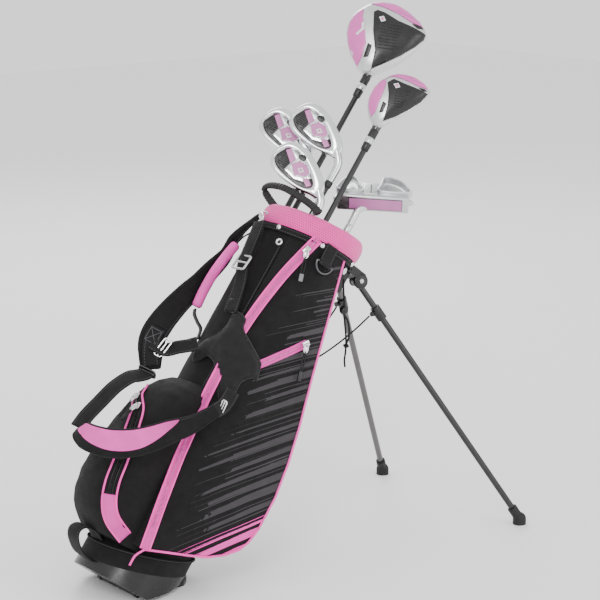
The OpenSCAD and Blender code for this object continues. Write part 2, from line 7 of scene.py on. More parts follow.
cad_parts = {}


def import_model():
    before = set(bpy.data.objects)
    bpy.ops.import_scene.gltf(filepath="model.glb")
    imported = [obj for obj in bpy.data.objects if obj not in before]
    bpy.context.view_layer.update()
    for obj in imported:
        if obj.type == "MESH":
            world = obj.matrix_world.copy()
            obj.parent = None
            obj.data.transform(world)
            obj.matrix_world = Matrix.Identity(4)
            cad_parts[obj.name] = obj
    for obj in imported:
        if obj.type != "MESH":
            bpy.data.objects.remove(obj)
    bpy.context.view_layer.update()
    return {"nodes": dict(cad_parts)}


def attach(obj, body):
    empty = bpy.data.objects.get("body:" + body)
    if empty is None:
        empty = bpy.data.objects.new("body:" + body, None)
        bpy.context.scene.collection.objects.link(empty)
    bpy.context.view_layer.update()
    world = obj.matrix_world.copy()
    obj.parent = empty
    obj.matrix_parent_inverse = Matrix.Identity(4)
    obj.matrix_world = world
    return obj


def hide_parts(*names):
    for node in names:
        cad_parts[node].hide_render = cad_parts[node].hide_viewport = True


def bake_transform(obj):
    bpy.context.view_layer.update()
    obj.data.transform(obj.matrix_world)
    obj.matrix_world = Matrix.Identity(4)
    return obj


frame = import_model()
NODES = frame["nodes"]

# ---------------------------------------------------------------- camera
AZ, EL = math.radians(-39), math.radians(13)
TARGET = Vector((0.3077, 0.0, 0.3980))
BACK = Vector((math.sin(AZ) * math.cos(EL), -math.cos(AZ) * math.cos(EL), math.sin(EL)))
cam = bpy.data.objects.new("camera", bpy.data.cameras.new("camera"))
bpy.context.scene.collection.objects.link(cam)
cam.data.lens = 120
cam.data.sensor_width = 36
cam.location = TARGET + BACK * 3.160
cam.rotation_mode = "QUATERNION"
cam.rotation_quaternion = (-BACK).to_track_quat("-Z", "Y")
bpy.context.scene.camera = cam

# ---------------------------------------------------------------- bag frame
LEAN = math.radians(37)
COS, SIN = math.cos(LEAN), math.sin(LEAN)
BASE_X, BASE_Z = -40 - 5 * COS, 5 * SIN
RIM_Z, RIM_TILT = 620, math.radians(6)


def world(p):
    """Bag-local millimetres to the row frame in metres."""
    p = np.asarray(p, float)
    x, y, z = p[..., 0], p[..., 1], p[..., 2]
    return np.stack([BASE_X + x * COS + z * SIN, y, BASE_Z - x * SIN + z * COS], -1) / 1000


def polar(angle, r, z):
    a = math.radians(angle)
    return np.array([r * math.cos(a), r * math.sin(a), z], float)


def rim(angle, h):
    """Height along the bag of the tilted rim plane plus h at an angle round the bag."""
    return RIM_Z + h + 78 * math.cos(math.radians(angle)) * math.tan(RIM_TILT)


def unit(v):
    v = np.asarray(v, float)
    return v / np.maximum(np.linalg.norm(v, axis=-1, keepdims=True), 1e-9)


def wave(p, scale, seed=0.0):
    """Smooth noise from -1 to 1 at a point in millimetres."""
    return noise.noise(Vector((p[0] / scale + seed, p[1] / scale - seed, p[2] / scale + 2 * seed)))


# ---------------------------------------------------------------- materials
class Shade:
    """A node material: a base finish with a pattern, wear and bump of its own."""

    def __init__(self, name, color, rough=0.6, metal=0.0, coat=0.0, sheen=0.0, spec=0.5):
        self.m = bpy.data.materials.new(name)
        self.m.use_nodes = True
        self.t = self.m.node_tree
        self.p = self.t.nodes["Principled BSDF"]
        self.color = (*color, 1)
        self.p.inputs["Base Color"].default_value = self.color
        self.p.inputs["Roughness"].default_value = rough
        self.p.inputs["Metallic"].default_value = metal
        self.p.inputs["Coat Weight"].default_value = coat
        self.p.inputs["Coat Roughness"].default_value = 0.12
        self.p.inputs["Sheen Weight"].default_value = sheen
        self.p.inputs["Specular IOR Level"].default_value = spec
        self.rough = rough
        self.height = None
        self.col = None
        self.coords = self.t.nodes.new("ShaderNodeTexCoord")

    def node(self, kind, links=None, **values):
        n = self.t.nodes.new("ShaderNode" + kind)
        for k, v in values.items():
            if hasattr(n, k) and not isinstance(v, bpy.types.NodeSocket):
                setattr(n, k, v)
            else:
                raise ValueError(k)
        for k, v in (links or {}).items():
            if isinstance(v, bpy.types.NodeSocket):
                self.t.links.new(v, n.inputs[k])
            else:
                n.inputs[k].default_value = v
        return n

    def math(self, op, a, b=0.0, clamp=False):
        return self.node("Math", {0: a, 1: b}, operation=op, use_clamp=clamp).outputs[0]

    def uv(self):
        return self.coords.outputs["UV"]

    def at(self):
        return self.coords.outputs["Object"]

    def split(self, vector):
        return self.node("SeparateXYZ", {"Vector": vector}).outputs

    def noise(self, scale, detail=3, vector=None, rough=0.55):
        v = vector or self.at()
        return self.node("TexNoise", {"Vector": v, "Scale": scale, "Detail": detail,
            "Roughness": rough}).outputs["Fac"]

    def mix(self, fac, a, b):
        n = self.node("Mix", data_type="RGBA")
        for socket, v in ((n.inputs[0], fac), (n.inputs[6], a), (n.inputs[7], b)):
            if isinstance(v, bpy.types.NodeSocket):
                self.t.links.new(v, socket)
            else:
                socket.default_value = v if isinstance(v, float) else (*v[:3], 1)
        return n.outputs[2]

    def ramp(self, fac, low, high):
        n = self.node("MapRange", {"Value": fac, "From Min": low, "From Max": high})
        return n.outputs["Result"]

    def tint(self, fac, color):
        self.col = self.mix(fac, self.col or self.color, color)

    def vary(self, scale=14, dark=0.75, detail=4):
        """Uneven dye or paint: patches a little darker than the rest."""
        f = self.ramp(self.noise(scale, detail), 0.35, 0.7)
        base = self.col or self.color
        hsv = self.node("HueSaturation",
            {"Color": base, "Value": dark}).outputs[0] if self.col else tuple(c * dark
            for c in self.color[:3])
        self.col = self.mix(f, base, hsv)

    def raise_by(self, h, amount):
        h = self.math("MULTIPLY", h, amount)
        self.height = h if self.height is None else self.math("ADD", self.height, h)

    def gloss_noise(self, scale, spread, vector=None):
        f = self.noise(scale, 3, vector)
        n = self.node("MapRange", {"Value": f, "From Min": 0.3, "From Max": 0.7,
            "To Min": max(0.03, self.rough - spread), "To Max": min(1.0, self.rough + spread)})
        self.t.links.new(n.outputs["Result"], self.p.inputs["Roughness"])

    def done(self, distance=0.001, strength=1.0):
        if self.col is not None:
            self.t.links.new(self.col, self.p.inputs["Base Color"])
        if self.height is not None:
            b = self.node("Bump", {"Height": self.height, "Strength": strength, "Distance": distance})
            self.t.links.new(b.outputs["Normal"], self.p.inputs["Normal"])
        return self.m

    # patterns on UV in metres
    def twill(self, pitch, amount=0.5, slant=1.0):
        x, y, _ = self.split(self.uv())
        d = self.math("ADD", self.math("MULTIPLY", x, 6.2832 / pitch),
            self.math("MULTIPLY", y, slant * 6.2832 / pitch))
        s = self.math("SINE", d)
        self.raise_by(s, amount)
        return s

    def weave(self, pitch, amount=0.5):
        x, y, _ = self.split(self.uv())
        a = self.math("SINE", self.math("MULTIPLY", x, 6.2832 / pitch))
        b = self.math("SINE", self.math("MULTIPLY", y, 6.2832 / pitch))
        s = self.math("MULTIPLY", a, b)
        self.raise_by(s, amount)
        return s

    def rows(self, pitch, amount, axis=1):
        """Even ridges across U (axis 0) or V (axis 1)."""
        v = self.split(self.uv())[axis]
        s = self.math("SINE", self.math("MULTIPLY", v, 6.2832 / pitch))
        self.raise_by(s, amount)
        return s

    def stitch(self, at, color, width=0.0011, pitch=0.0042, axis=0):
        """Dashed seams along V at each U in at (or the other way round with axis 1)."""
        uv = self.split(self.uv())
        u, v = uv[axis], uv[1 - axis]
        dash = self.math("GREATER_THAN", self.math("SINE", self.math("MULTIPLY", v, 6.2832 / pitch)),
            -0.35)
        near = None
        for a in at:
            n = self.math("LESS_THAN", self.math("ABSOLUTE", self.math("SUBTRACT", u, a)), width / 2)
            near = n if near is None else self.math("MAXIMUM", near, n)
        f = self.math("MULTIPLY", near, dash)
        self.tint(f, color)
        groove = None
        for a in at:
            n = self.ramp(self.math("ABSOLUTE", self.math("SUBTRACT", u, a)), width * 2, 0.0)
            groove = n if groove is None else self.math("MAXIMUM", groove, n)
        self.raise_by(groove, -0.5)


BLACK = (0.0038, 0.0033, 0.0037)
PINK = (1.0, 0.085, 0.52)
HOT = (1.0, 0.05, 0.42)
CLUB_PINK = (0.72, 0.11, 0.46)


def cloth(name, color, pitch=0.0016, kind="twill", rough=0.84, sheen=0.03, seams=(),
        seam_color=(0.05, 0.05, 0.055), wrinkle=0.8, crest_highlight_gain=1.6):
    s = Shade(name, color, rough, sheen=sheen, spec=0.3)
    w = s.twill(pitch, 0.35) if kind == "twill" else s.weave(pitch,
        0.4) if kind == "weave" else s.rows(pitch, 0.4)
    # painted highlight: the raised crests of the weave are tinted lighter than the cloth's colour
    bright = tuple(min(1.0, c * crest_highlight_gain) for c in color)
    s.tint(s.math("MULTIPLY", s.ramp(w, -0.2, 1.0), 0.35), bright)
    s.vary(22, 0.82)
    if seams:
        s.stitch(seams, seam_color)
    s.raise_by(s.noise(38, 4), wrinkle)
    s.gloss_noise(60, 0.08)
    return s.done(0.0006)


def plastic(name, color, rough=0.42, grain=900, bump=0.12, spec=0.5):
    s = Shade(name, color, rough, spec=spec)
    s.vary(30, 0.8)
    s.raise_by(s.noise(grain, 2), bump)
    scuff = s.ramp(s.noise(130, 6, rough=0.75), 0.62, 0.72)
    s.tint(s.math("MULTIPLY", scuff, 0.25), tuple(min(1, c * 2.4 + 0.02) for c in color))
    s.gloss_noise(75, 0.12)
    return s.done(0.0004)


def metal(name, color, rough=0.2, brushed=(1, 1, 1), scale=400, spread=0.08, bump=0.06):
    s = Shade(name, color, rough, metal=1.0)
    v = s.node("Mapping", {"Vector": s.at(), "Scale": brushed}).outputs[0]
    s.raise_by(s.noise(scale, 3, v), bump)
    s.vary(40, 0.88)
    s.gloss_noise(90, spread, v)
    return s.done(0.0003)


def rubber(name, color, pitch=0.0, rough=0.68):
    s = Shade(name, color, rough, spec=0.4)
    s.vary(50, 0.7)
    s.raise_by(s.noise(1400, 2), 0.15)
    if pitch:
        r = s.rows(pitch, 0.6)
        # painted shade: the troughs between the ribs are darkened in the colour
        s.tint(s.math("MULTIPLY", s.ramp(r, 0.2, -0.9), 0.5), tuple(c * 0.4 for c in color))
    s.gloss_noise(70, 0.1)
    return s.done(0.0008)


def paint(name, color, rough=0.28, coat=0.6, flake=0.0):
    s = Shade(name, color, rough, coat=coat)
    s.vary(55, 0.9)
    s.raise_by(s.noise(500, 2), 0.05)
    if flake:
        s.tint(s.math("MULTIPLY", s.ramp(s.noise(2600, 1), 0.6, 0.75), flake), (0.9, 0.85, 0.9))
    s.gloss_noise(60, 0.06)
    return s.done(0.0003)


def pink_mesh(name):
    """Perforated spacer mesh: a soft pink pad with rows of small holes, darkened with painted shade."""
    s = Shade(name, HOT, 0.62, sheen=0.3, spec=0.35)
    x, y, _ = s.split(s.uv())
    pitch = 0.0037
    row = s.math("FLOOR", s.math("DIVIDE", y, pitch * 0.8))
    shift = s.math("MULTIPLY", s.math("MODULO", s.math("ABSOLUTE", row), 2.0), pitch / 2)
    gx = s.math("SUBTRACT", s.math("FRACT", s.math("DIVIDE", s.math("ADD", x, shift), pitch)), 0.5)
    gy = s.math("SUBTRACT", s.math("FRACT", s.math("DIVIDE", y, pitch * 0.8)), 0.5)
    d = s.math("SQRT", s.math("ADD", s.math("MULTIPLY", gx, gx), s.math("MULTIPLY",
        s.math("MULTIPLY", gy, gy), 0.8)))
    hole_and_shade_mask = s.ramp(d, 0.31, 0.17)
    s.vary(18, 0.86)
    # painted shade: the holes are tinted a dark pink as well as sunk by the bump
    s.tint(s.math("MULTIPLY", hole_and_shade_mask, 0.72), (0.45, 0.008, 0.12))
    s.raise_by(hole_and_shade_mask, -0.9)
    s.raise_by(s.noise(26, 3), 0.7)
    return s.done(0.0008)


def striped(name):
    """Charcoal twill with printed diagonal stripes, grey above and pink in the bottom corner."""
    s = Shade(name, BLACK, 0.82, sheen=0.03, spec=0.3)
    w = s.twill(0.0016, 0.35)
    # painted highlight: the raised crests of the twill are tinted lighter than the black
    s.tint(s.math("MULTIPLY", s.ramp(w, -0.2, 1.0), 0.3), tuple(c * 1.7 for c in BLACK))
    s.vary(20, 0.8)
    u, v, _ = s.split(s.uv())
    # across: distance across the stripes
    across = s.math("SUBTRACT", s.math("MULTIPLY", v, 0.70), s.math("MULTIPLY", u, 0.72))
    reach = s.ramp(u, 0.0, 0.135)
    stripe = None
    for pitch, thin, wide, seed in ((0.0165, 0.10, 0.62, 3.0), (0.0071, 0.05, 0.34, 41.0)):
        step = s.math("DIVIDE", across, pitch)
        cell = s.math("ADD", s.math("FLOOR", step), seed)
        chance = s.node("TexWhiteNoise", {"W": cell}, noise_dimensions="1D").outputs["Value"]
        size = s.math("MULTIPLY", s.math("ADD", s.math("MULTIPLY", chance, wide), thin),
            s.math("POWER", reach, 0.8))
        rough_edge = s.math("MULTIPLY", s.math("SUBTRACT", s.noise(310.0, 2), 0.5), 0.10)
        begin = s.node("TexWhiteNoise", {"W": s.math("ADD", cell, 900.0)},
            noise_dimensions="1D").outputs["Value"]
        begin = s.math("ADD", s.math("MULTIPLY", begin, 0.055), 0.018)
        shown = s.math("GREATER_THAN", u, s.math("ADD", begin, s.math("MULTIPLY", s.noise(120.0, 2),
            0.03)))
        size = s.math("MULTIPLY", size, shown)
        one = s.ramp(s.math("SUBTRACT", s.math("ADD", size, rough_edge), s.math("FRACT", step)), 0.0,
            0.03)
        stripe = one if stripe is None else s.math("MAXIMUM", stripe, one)
    low = s.ramp(across, PINK_LEVEL + 0.001, PINK_LEVEL - 0.001)
    grey = s.math("MULTIPLY", stripe, s.math("SUBTRACT", 1.0, low))
    s.tint(s.math("MULTIPLY", grey, 0.9), (0.058, 0.053, 0.059))
    s.tint(s.math("MULTIPLY", s.math("MULTIPLY", stripe, low), 1.0), PINK)
    s.raise_by(s.noise(38, 4), 0.8)
    s.gloss_noise(60, 0.08)
    return s.done(0.0006)


PINK_LEVEL = 0.024
M = {"body": cloth("body_twill", BLACK), "side": cloth("side_twill", (0.0050, 0.0045, 0.0050), seams=()),
    "panel": striped("striped_panel"), "inner": cloth("lining", (0.02, 0.02, 0.022), kind="weave"),
    "mesh": pink_mesh("cuff_spacer_mesh"), "bind": cloth("binding_tape", (0.0048, 0.0044, 0.0048), 0.0022,
    "rows", seams=(0.0022, 0.0078)), "pink_cloth": cloth("pink_tape", PINK, 0.0012, "weave", rough=0.6,
    crest_highlight_gain=1.15, seams=()), "pink_pad": cloth("pink_padding", (1.0, 0.10, 0.54), 0.0018, "weave",
    rough=0.7, crest_highlight_gain=1.1), "piping": plastic("pink_piping", (1.0, 0.07, 0.48), 0.4, bump=0.08),
    "coil": plastic("zip_coil", (0.98, 0.22, 0.64), 0.3), "coil_black": plastic("zip_coil_black",
    (0.02, 0.02, 0.022), 0.3), "web": cloth("webbing", (0.0050, 0.0047, 0.0050), 0.0021, "rows",
    rough=0.75, seams=(0.0026, 0.0214), wrinkle=0.3), "web_wide": cloth("webbing_wide",
    (0.0050, 0.0047, 0.0050), 0.0024, "rows", rough=0.78, seams=(0.003, 0.027), wrinkle=0.3),
    "pad": cloth("strap_padding", (0.0050, 0.0045, 0.0050), 0.0020, "weave", rough=0.88,
    seams=(0.0045, 0.0425)), "yoke": cloth("yoke_padding", (0.0085, 0.0078, 0.0088), 0.0018, "weave",
    rough=0.86, sheen=0.12), "steel": metal("polished_steel", (0.80, 0.81, 0.83), 0.16),
    "chrome": metal("bright_plate", (0.86, 0.87, 0.88), 0.12), "slider": metal("slider_plate",
    (0.78, 0.79, 0.80), 0.24), "dark_metal": metal("gunmetal", (0.10, 0.10, 0.105), 0.28, (30, 30, 1)),
    # painted light: the far leg's copy of the leg metal is lighter than the near leg's
    "leg_painted_light": metal("leg_tube_far_painted_light", (0.15, 0.145, 0.145), 0.34, (1, 30, 1), spread=0.10),
    "leg": metal("leg_tube", (0.060, 0.058, 0.060), 0.30, (1, 30, 1), spread=0.10),
    "satin": metal("satin_alloy", (0.70, 0.71, 0.72), 0.34, (1, 1, 12), 700),
    "moulded": plastic("moulded_black", (0.0065, 0.0062, 0.0065), 0.38),
    "boot": plastic("boot_plastic", (0.0060, 0.0057, 0.0060), 0.30, bump=0.08),
    "foot": rubber("foot_rubber", (0.012, 0.012, 0.012)), "handle": rubber("handle_rubber",
    (0.016, 0.0145, 0.0155), 0.0056, rough=0.55), "grip": rubber("grip_rubber", (0.013, 0.013, 0.014),
    0.0), "cord": cloth("braided_cord", (0.011, 0.011, 0.012), 0.0024, "twill", rough=0.75),
    "pull": rubber("pull_rubber", (0.19, 0.19, 0.20), 0.0, 0.5), "shaft": paint("graphite_shaft",
    (0.0050, 0.0050, 0.0055), 0.34, 0.1), "sole_black": plastic("sole_black", (0.0065, 0.0060, 0.0063),
    0.30), "wood_pink": paint("wood_pink", CLUB_PINK, 0.34, 0.35, 0.10),
    "iron_pink": paint("iron_pink", (0.56, 0.17, 0.42), 0.40, 0.2),
    "rod": metal("rod_steel", (0.55, 0.55, 0.56), 0.3, (1, 1, 20)),
    "fibre": plastic("fibreglass", (0.05, 0.05, 0.055), 0.35), "white": paint("white_print",
    (0.80, 0.80, 0.80), 0.4, 0.2), "crown": paint("crown_paint", (0.0075, 0.007, 0.008), 0.14, 0.8,
    0.03),}


# ---------------------------------------------------------------- geometry
def piece(name, verts, faces, mat, body="bag", slot=None, uv=None, smooth=True, mats=None, index=None,
        bevel=0.0, weld=True):
    """A mesh in the row frame from points in metres; uv is per vertex, in metres."""
    me = bpy.data.meshes.new(name)
    me.from_pydata([tuple(v) for v in np.asarray(verts, float)], [],
        [tuple(int(i) for i in f) for f in faces])
    if uv is not None:
        layer = me.uv_layers.new(name="UVMap")
        vi = np.zeros(len(me.loops), np.int32)
        me.loops.foreach_get("vertex_index", vi)
        layer.data.foreach_set("uv", np.asarray(uv, np.float32)[vi].ravel())
    for m in (mats or [mat]):
        me.materials.append(M[m])
    if index is not None:
        me.polygons.foreach_set("material_index", np.asarray(index, np.int32))
    me.polygons.foreach_set("use_smooth", np.full(len(me.polygons), smooth))
    b = bmesh.new()
    b.from_mesh(me)
    if weld:
        bmesh.ops.remove_doubles(b, verts=b.verts, dist=1e-7)
    bmesh.ops.recalc_face_normals(b, faces=b.faces)
    b.to_mesh(me)
    b.free()
    me.validate()
    ob = bpy.data.objects.new(name, me)
    bpy.context.scene.collection.objects.link(ob)
    if bevel:
        mod = ob.modifiers.new("bevel", "BEVEL")
        mod.width, mod.segments, mod.limit_method = bevel, 2, "ANGLE"
    if body:
        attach(ob, body)
    return ob


def spline(points, step=4.0, closed=False):
    """Points along a smooth curve through the given ones, about step apart."""
    p = np.asarray(points, float)
    n = len(p)
    out = []
    spans = n if closed else n - 1
    for i in range(spans):
        a, b = p[i], p[(i + 1) % n]
        before = p[(i - 1) % n] if closed or i > 0 else 2 * a - b
        after = p[(i + 2) % n] if closed or i + 2 < n else 2 * b - a
        k = max(1, int(round(np.linalg.norm(b[:3] - a[:3]) / step)))
        for j in range(k):
            t = j / k
            out.append(0.5 * (2 * a + (b - before) * t + (2 * before - 5 * a + 4 * b - after) * t * t
                + (3 * a - before - 3 * b + after) * t ** 3))
    if not closed:
        out.append(p[-1])
    return np.array(out)


def frames(path, up=None, closed=False):
    n = len(path)
    if closed:
        t = unit(np.roll(path, -1, 0) - np.roll(path, 1, 0))
    else:
        t = unit(np.gradient(path, axis=0))
    if up is None:
        side = np.zeros_like(path)
        first = np.cross(t[0], [0.31, 0.95, 0.05])
        side[0] = unit(first)
        for i in range(1, n):
            side[i] = unit(side[i - 1] - t[i] * np.dot(side[i - 1], t[i]))
        nrm = np.cross(side, t)
        return t, side, nrm
    up = np.asarray(up, float)
    if up.ndim == 1:
        up = np.tile(up, (n, 1))
    nrm = unit(up - t * np.sum(up * t, 1, keepdims=True))
    return t, np.cross(t, nrm), nrm


def sweep(name, path, section, mat, body="bag", slot=None, up=None, closed=False, scale=None, caps=True,
        local=True, smooth=True, v0=0.0):
    """Sweeps a closed cross-section (side, out) along a path, both in millimetres."""
    path = np.asarray(path, float)
    t, side, nrm = frames(path, up, closed)
    sec = np.asarray(section, float)
    k, n = len(sec), len(path)
    scale = np.ones((n, 2)) if scale is None else np.asarray(scale, float)
    rings = path[:, None, :] + side[:, None, :] * (sec[None, :, 0:1] * scale[:, None, 0:1]) + nrm[:, None,
        :] * (sec[None, :, 1:2] * scale[:, None, 1:2])
    v = rings.reshape(-1, 3)
    run = np.concatenate([[0], np.cumsum(np.linalg.norm(np.diff(path, axis=0), axis=1))]) + v0
    us = (sec[:, 0] - sec[:, 0].min())
    uv = np.stack([np.tile(us, n), np.repeat(run, k)], 1) / 1000
    faces = []
    for i in range(n if closed else n - 1):
        a, b = i * k, ((i + 1) % n) * k
        for j in range(k):
            faces.append((a + j, a + (j + 1) % k, b + (j + 1) % k, b + j))
    if caps and not closed:
        faces.append(tuple(range(k))[::-1])
        faces.append(tuple((n - 1) * k + j for j in range(k)))
    verts = world(v) if local else v / 1000
    return piece(name, verts, faces, mat, body, slot, uv, smooth)


def circle(r, k=12, flat=1.0):
    a = np.arange(k) * 2 * math.pi / k
    return np.stack([r * np.cos(a), r * flat * np.sin(a)], 1)


def slab(width, thick, edge=None, k=3):
    """A flat strap's cross-section with rounded edges; extra points keep the faces even."""
    r = min(thick / 2, edge or thick / 2)
    pts = []
    for cx, cy, a0 in ((width / 2 - r, thick / 2 - r, 0), (-width / 2 + r, thick / 2 - r, 90),
            (-width / 2 + r, -thick / 2 + r, 180), (width / 2 - r, -thick / 2 + r, 270)):
        for j in range(k + 1):
            a = math.radians(a0 + 90 * j / k)
            pts.append((cx + r * math.cos(a), cy + r * math.sin(a)))
    return np.array(pts)


def padded_slab(width, thick):
    """A padded strap: thin stitched edges and a puffed middle."""
    xs = np.array([-0.5, -0.46, -0.40, -0.37, -0.32, -0.2, 0, 0.2, 0.32, 0.37, 0.40, 0.46, 0.5]) * width
    hs = np.array([0.1, 0.38, 0.42, 0.30, 0.44, 0.5, 0.5, 0.5, 0.44, 0.30, 0.42, 0.38, 0.1]) * thick
    top = np.stack([xs, hs], 1)
    bottom = np.stack([xs[::-1], -hs[::-1]], 1)
    return np.concatenate([top, bottom])[::-1]


def tube(name, points, r, mat, body="bag", slot=None, step=3.0, k=10, closed=False, scale=None,
        local=True):
    path = spline(points, step, closed)
    return sweep(name, path, circle(r, k), mat, body, slot, closed=closed, scale=scale, local=local)


def grid(name, f, nu, nv, mat, body="bag", slot=None, closed=False, uv=None, thick=0.0, cap=False, **kw):
    """A surface from f(i / nu, j / nv) in bag millimetres, turned into a sheet thick millimetres deep."""
    pts = np.array([[f(i / nu, j / nv) for i in range(nu + (0 if closed else 1))] for j in range(nv + 1)],
        float)
    rows, cols = pts.shape[:2]
    du = np.linalg.norm(np.diff(pts, axis=1), axis=2)
    dv = np.linalg.norm(np.diff(pts, axis=0), axis=2)
    u = np.concatenate([np.zeros((rows, 1)), np.cumsum(du, 1)], 1) if uv is None else None
    v = np.concatenate([np.zeros((1, cols)), np.cumsum(dv, 0)], 0)
    if uv is None:
        coords = np.stack([np.tile(u.mean(0), (rows, 1)), np.tile(v.mean(1)[:, None], (1, cols))],
            -1).reshape(-1, 2) / 1000
    else:
        coords = np.array([[uv(i / nu, j / nv) for i in range(cols)] for j in range(rows)],
            float).reshape(-1, 2)
    faces = []
    for j in range(rows - 1):
        for i in range(cols if closed else cols - 1):
            i2 = (i + 1) % cols
            faces.append((j * cols + i, j * cols + i2, (j + 1) * cols + i2, (j + 1) * cols + i))
    if cap:
        faces.append(tuple(range(cols))[::-1])
        faces.append(tuple((rows - 1) * cols + i for i in range(cols)))
    ob = piece(name, world(pts.reshape(-1, 3)), faces, mat, body, slot, coords, weld=False, **kw)
    if thick:
        m = ob.modifiers.new("thick", "SOLIDIFY")
        m.thickness, m.offset = thick / 1000, -1
    return ob


def lathe(name, profile, at, axis, mat, body="bag", slot=None, k=28, local=True):
    """Turns (radius, height) pairs about an axis that starts at a point."""
    a = unit(axis)
    s = unit(np.cross(a, [0.3, 0.9, 0.1]))
    t = np.cross(a, s)
    prof = np.asarray(profile, float)
    v, uv = [], []
    for r, h in prof:
        for j in range(k):
            g = 2 * math.pi * j / k
            v.append(np.asarray(at, float) + a * h + (s * math.cos(g) + t * math.sin(g)) * r)
            uv.append((j / k * 0.04, h / 1000))
    faces = [(i * k + j, i * k + (j + 1) % k, (i + 1) * k + (j + 1) % k, (i + 1) * k + j)
        for i in range(len(prof) - 1) for j in range(k)]
    faces += [tuple(range(k))[::-1], tuple((len(prof) - 1) * k + j for j in range(k))]
    v = np.array(v)
    return piece(name, world(v) if local else v / 1000, faces, mat, body, slot, uv)


def block(name, at, x, y, size, mat, body="bag", slot=None, bevel=0.8, local=True):
    """A rounded box centred at a point, with its own x and y directions."""
    x = unit(x)
    z = unit(np.cross(x, y))
    y = np.cross(z, x)
    v = [np.asarray(at, float) + x * i * size[0] / 2 + y * j * size[1] / 2 + z * k * size[2] / 2
        for i in (-1, 1) for j in (-1, 1) for k in (-1, 1)]
    faces = [(0, 1, 3, 2), (4, 6, 7, 5), (0, 4, 5, 1), (2, 3, 7, 6), (0, 2, 6, 4), (1, 5, 7, 3)]
    v = np.array(v)
    ob = piece(name, world(v) if local else v / 1000, faces, mat, body, slot, smooth=True)
    m = ob.modifiers.new("bevel", "BEVEL")
    m.width, m.segments = bevel / 1000, 3
    return ob


# ---------------------------------------------------------------- cords first
draw_exit = np.array([52, -60, 582.0])
draw_start = world(draw_exit) * 1000
DROP = np.array([[0, 0, 0], [-1, 0, -4], [-1, 0, -14], [0, 0, -26], [1, 0, -40], [1, 0, -56], [2, 0, -72],
    [4, 0, -88], [4, -1, -104], [2, -2, -118], [0, -2, -130], [1, -2, -142]], float)
cord_path = spline(draw_start + DROP, 1.5)
draw = sweep("draw_cord_line", cord_path, circle(1.6, 10), "cord", slot="cord", local=False)
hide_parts("draw_cord")
lock = lathe("cord_lock_ball", [(0.1, -7.4), (3.6, -6.6), (6.4, -3.8), (7.4, 0), (6.4, 3.8), (3.6, 6.6),
    (2.4, 7.2), (2.2, 6.8)], draw_start + [0, 0, -50], (0, 0, 1), "moulded", slot="moulded_black",
    local=False)
button = lathe("cord_lock_button", [(3.2, 0), (3.2, 2.6), (2.6, 3.4), (0.1, 3.6)],
    draw_start + [-5.6, -3, -50], (-1, -0.5, 0), "moulded", slot="moulded_black", local=False)
knot_at = draw_start + DROP[8] + [0, 0, -4]
a = np.arange(0, 1, 1 / 60) * 2 * math.pi
knot_path = np.stack([knot_at[0] + (2.6 + 1.1 * np.cos(3 * a)) * np.cos(2 * a),
    knot_at[1] + (2.6 + 1.1 * np.cos(3 * a)) * np.sin(2 * a), knot_at[2] + 1.7 * np.sin(3 * a)], 1)
knot = sweep("draw_cord_knot", knot_path, circle(1.5, 8), "cord", slot="cord", closed=True, local=False)
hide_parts("cord_lock")
loop_pts = draw_start + np.array([[-1.5, -1.5, -56], [4.5, -3.5, -66], [7.5, -4.5, -80], [7, -4, -94],
    [4.6, -1.8, -104]])
second_path = spline(loop_pts, 1.5)
second = sweep("draw_cord_second", second_path, circle(1.6, 10), "cord", slot="cord", local=False)

keeper = world([84.5, 0, 420.0]) * 1000
pivot = world([106.5, -25.5, 602.0]) * 1000
leg_dir = unit(np.array([637, -172, 9.0]) - pivot)
for side, body, name in ((1, "near_leg", "near"), (-1, "far_leg", "far")):
    flip = np.array([1, side, 1])
    eye = (pivot + leg_dir * 64 - [11, 0, 0]) * flip
    start = eye - np.array([5, -3.5 * side, 3.5])
    end = keeper - np.array([0, 10 * side, 0])
    s = np.linspace(0, 1, 60)[:, None]
    path = start + (end - start) * s - np.array([0, 0, 1]) * 40 * s * (1 - s)
    line = sweep("spread_cord_" + name, path, circle(1.5, 8), "cord", body=None, slot="cord", local=False)
    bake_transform(line)
    if side == 1:
        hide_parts("spread_cord")

# ---------------------------------------------------------------- tube
WELTS = (-20, 20, 205)


def bag_wall(angle, z, r=76.3, amount=1.0):
    p = polar(angle, r, z)
    fold = 1.3 * wave(p, 46, 2.0) + 0.9 * wave(p * [1, 1, 0.35], 22, 5.0)
    seam = 0
    for s in (*WELTS, 118):
        seam += 0.6 * math.exp(-((angle - s + 180) % 360 - 180) ** 2 / 1.5)
    return polar(angle, r + amount * (0.55 * fold + seam), z)


LOW = lambda ang: 45.5 + 26.5 * math.cos(math.radians(ang))
skin = grid("bag_fabric", lambda i, j: bag_wall(360 * i, LOW(360 * i)
    + j * (rim(360 * i, -9) - LOW(360 * i))), 120, 80, "body", slot="body_fabric", closed=True, thick=2.6,
    uv=lambda i, j: (0.4775 * i, 0.6 * j))
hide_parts("bag_shell")
for k, a0 in enumerate(WELTS):
    tube("seam_welt_%d" % k, [bag_wall(a0, z, 77.3) for z in range(90, 580, 14)], 1.5, "bind",
        slot="body_fabric", k=8)
# lower band above the boot and its stitched binding
grid("base_band", lambda i, j: polar(360 * i, 79.6 + 0.5 * wave(polar(360 * i, 80, 0), 30),
    LOW(360 * i) - 4 + j * 26), 110, 8, "side", slot="body_fabric", closed=True, thick=1.5, uv=lambda i,
    j: (0.5 * i, 0.026 * j))
tube("base_binding", [polar(t, 80.4, LOW(t) + 22.5) for t in range(0, 360, 6)], 1.7, "bind",
    slot="body_fabric", closed=True, k=8)

